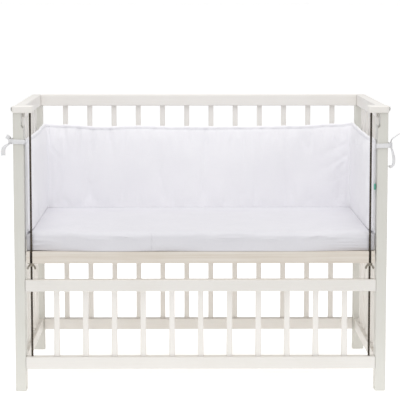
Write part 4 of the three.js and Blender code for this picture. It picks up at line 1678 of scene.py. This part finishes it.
@dataclass
class MattressBase:
    """The bare boards under the mattress, and the wing nuts that they sit on."""

    arris: Arris = Arris(0.8 * MM)
    nut_steel: DarkSteel = DarkSteel("nut_steel", (0.29, 0.265, 0.22), (0.50, 0.47, 0.42))
    boards: tuple[str, ...] = ("base_front", "base_panel", "base_ledger")

    def build(self) -> None:
        """Dresses the boards and the nuts."""
        wood = BareWood().build()
        steel = self.nut_steel.build()
        for name in self.boards:
            dress(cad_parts[name], wood)
            self.arris.soften(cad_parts[name])
        for hand in Hand:
            dress(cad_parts[f"wing_nut_{hand.word}"], steel)
        LOG.info("base: %d boards and 2 wing nuts", len(self.boards))


@dataclass
class Studio:
    """Pale floor, soft light and the camera at the photograph's place."""

    camera_x: float = -45.8 * MM
    camera_from_posts: float = 4550 * MM
    camera_height: float = 1032 * MM
    pitch: float = 6.51
    heading: float = 0.551
    focal: float = 156.7
    floor_half: float = 900.0
    backdrop_height: float = 12.0
    world: float = 0.60
    overhead: float = 52.0
    overhead_size: float = 2.4
    overhead_place: tuple[float, float, float] = (0.0, -0.8, 3.2)
    overhead_aim: tuple[float, float, float] = (0.0, 0.1, 0.4)
    side_fill: float = 12.0
    fill_size: float = 2.2
    fill_place: tuple[float, float, float] = (2.8, -3.9, 1.5)
    fill_aim: tuple[float, float, float] = (0.0, 0.0, 0.5)

    def build(self) -> None:
        """Makes the camera, the lights, the world and the floor."""
        scene = bpy.context.scene
        scene.view_settings.view_transform = "Standard"
        lens = bpy.data.cameras.new("camera")
        lens.lens = self.focal
        lens.clip_end = 2000.0
        camera = bpy.data.objects.new("camera", lens)
        camera.location = (self.camera_x, POST_FRONT - self.camera_from_posts, self.camera_height)
        camera.rotation_euler = (math.radians(90 - self.pitch), 0, -math.radians(self.heading))
        scene.collection.objects.link(camera)
        scene.camera = camera

        scene.world = bpy.data.worlds.new("studio")
        scene.world.use_nodes = True
        backdrop = scene.world.node_tree.nodes["Background"]
        backdrop.inputs["Color"].default_value = (1.0, 1.0, 1.0, 1.0)
        backdrop.inputs["Strength"].default_value = self.world

        self.softbox("overhead", self.overhead_place, self.overhead_aim, self.overhead_size, self.overhead)
        for hand in Hand:
            place = (hand.value * self.fill_place[0], *self.fill_place[1:])
            self.softbox(f"fill_{hand.word}", place, self.fill_aim, self.fill_size, self.side_fill)

        half = self.floor_half
        corners = [(-half, -half, 0), (half, -half, 0), (half, half, 0), (-half, half, 0)]
        corners += [(half, half, self.backdrop_height), (-half, half, self.backdrop_height)]
        floor = mesh_object("floor", corners, [(0, 1, 2, 3), (3, 2, 4, 5)])
        floor.data.materials.append(StudioFloor().build())
        LOG.info("studio: camera, world, three softboxes and floor")

    @staticmethod
    def softbox(name: str, place: Sequence[float], aim: Sequence[float], size: float, power: float) -> None:
        """Adds one square area light.

        Args:
            name: the light's name.
            place: where it stands.
            aim: the point that it faces.
            size: its side.
            power: its power in watts.
        """
        light = bpy.data.lights.new(name, "AREA")
        light.size = size
        light.energy = power
        lamp = bpy.data.objects.new(name, light)
        lamp.location = place
        lamp.rotation_euler = (Vector(aim) - Vector(place)).to_track_quat("-Z", "Y").to_euler()
        bpy.context.scene.collection.objects.link(lamp)


LEFT_TIE = Tie(
    hand=Hand.LEFT,
    knot_height=667,
    low_tail=(
        TailPoint(0, 2, -3, 20),
        TailPoint(6, 5, -9, 30),
        TailPoint(12, 6, -12.5, 45),
        TailPoint(17, 6, -18, 65),
        TailPoint(19, 5, -27, 80),
        TailPoint(18.5, 4, -37, 85),
    ),
    high_tail=(
        TailPoint(0, 1, 3, 50),
        TailPoint(3, 4, 8, 60),
        TailPoint(7, 5, 12, 65),
        TailPoint(11, 5, 14, 70),
    ),
)
RIGHT_TIE = Tie(
    hand=Hand.RIGHT,
    knot_height=656,
    low_tail=(
        TailPoint(0, 2, -3, 20),
        TailPoint(4.5, 4, -14, 35),
        TailPoint(7.5, 5, -27, 45),
        TailPoint(9, 5, -41, 50),
        TailPoint(6.5, 5, -53, 48),
        TailPoint(1, 5, -58, 42),
        TailPoint(-3, 5, -53, 36),
    ),
    high_tail=(
        TailPoint(0, 1, 3, 10),
        TailPoint(1, 3, 11, 10),
        TailPoint(5, 4, 18, 10),
        TailPoint(12, 5, 23, 10),
        TailPoint(24, 6, 32, 10),
    ),
)


def main() -> None:
    """Builds and dresses every sub-assembly in order."""
    logging.basicConfig(level=logging.INFO, format="%(name)s %(message)s")
    steel = DarkSteel("black_steel", (0.070, 0.056, 0.044), (0.140, 0.108, 0.080)).build()
    Studio().build()
    CribTimber().build()
    MattressBase().build()
    for hand in Hand:
        HeightRod(hand, steel).build()
    CapBolts(steel).build()
    Mattress().build()
    bumper = Bumper()
    bumper.build()
    SeamStitches().build(bumper.stitch_lines())
    for tie in (LEFT_TIE, RIGHT_TIE):
        tie.build()
    SewnTab().build()


if __name__ == "__main__":
    main()
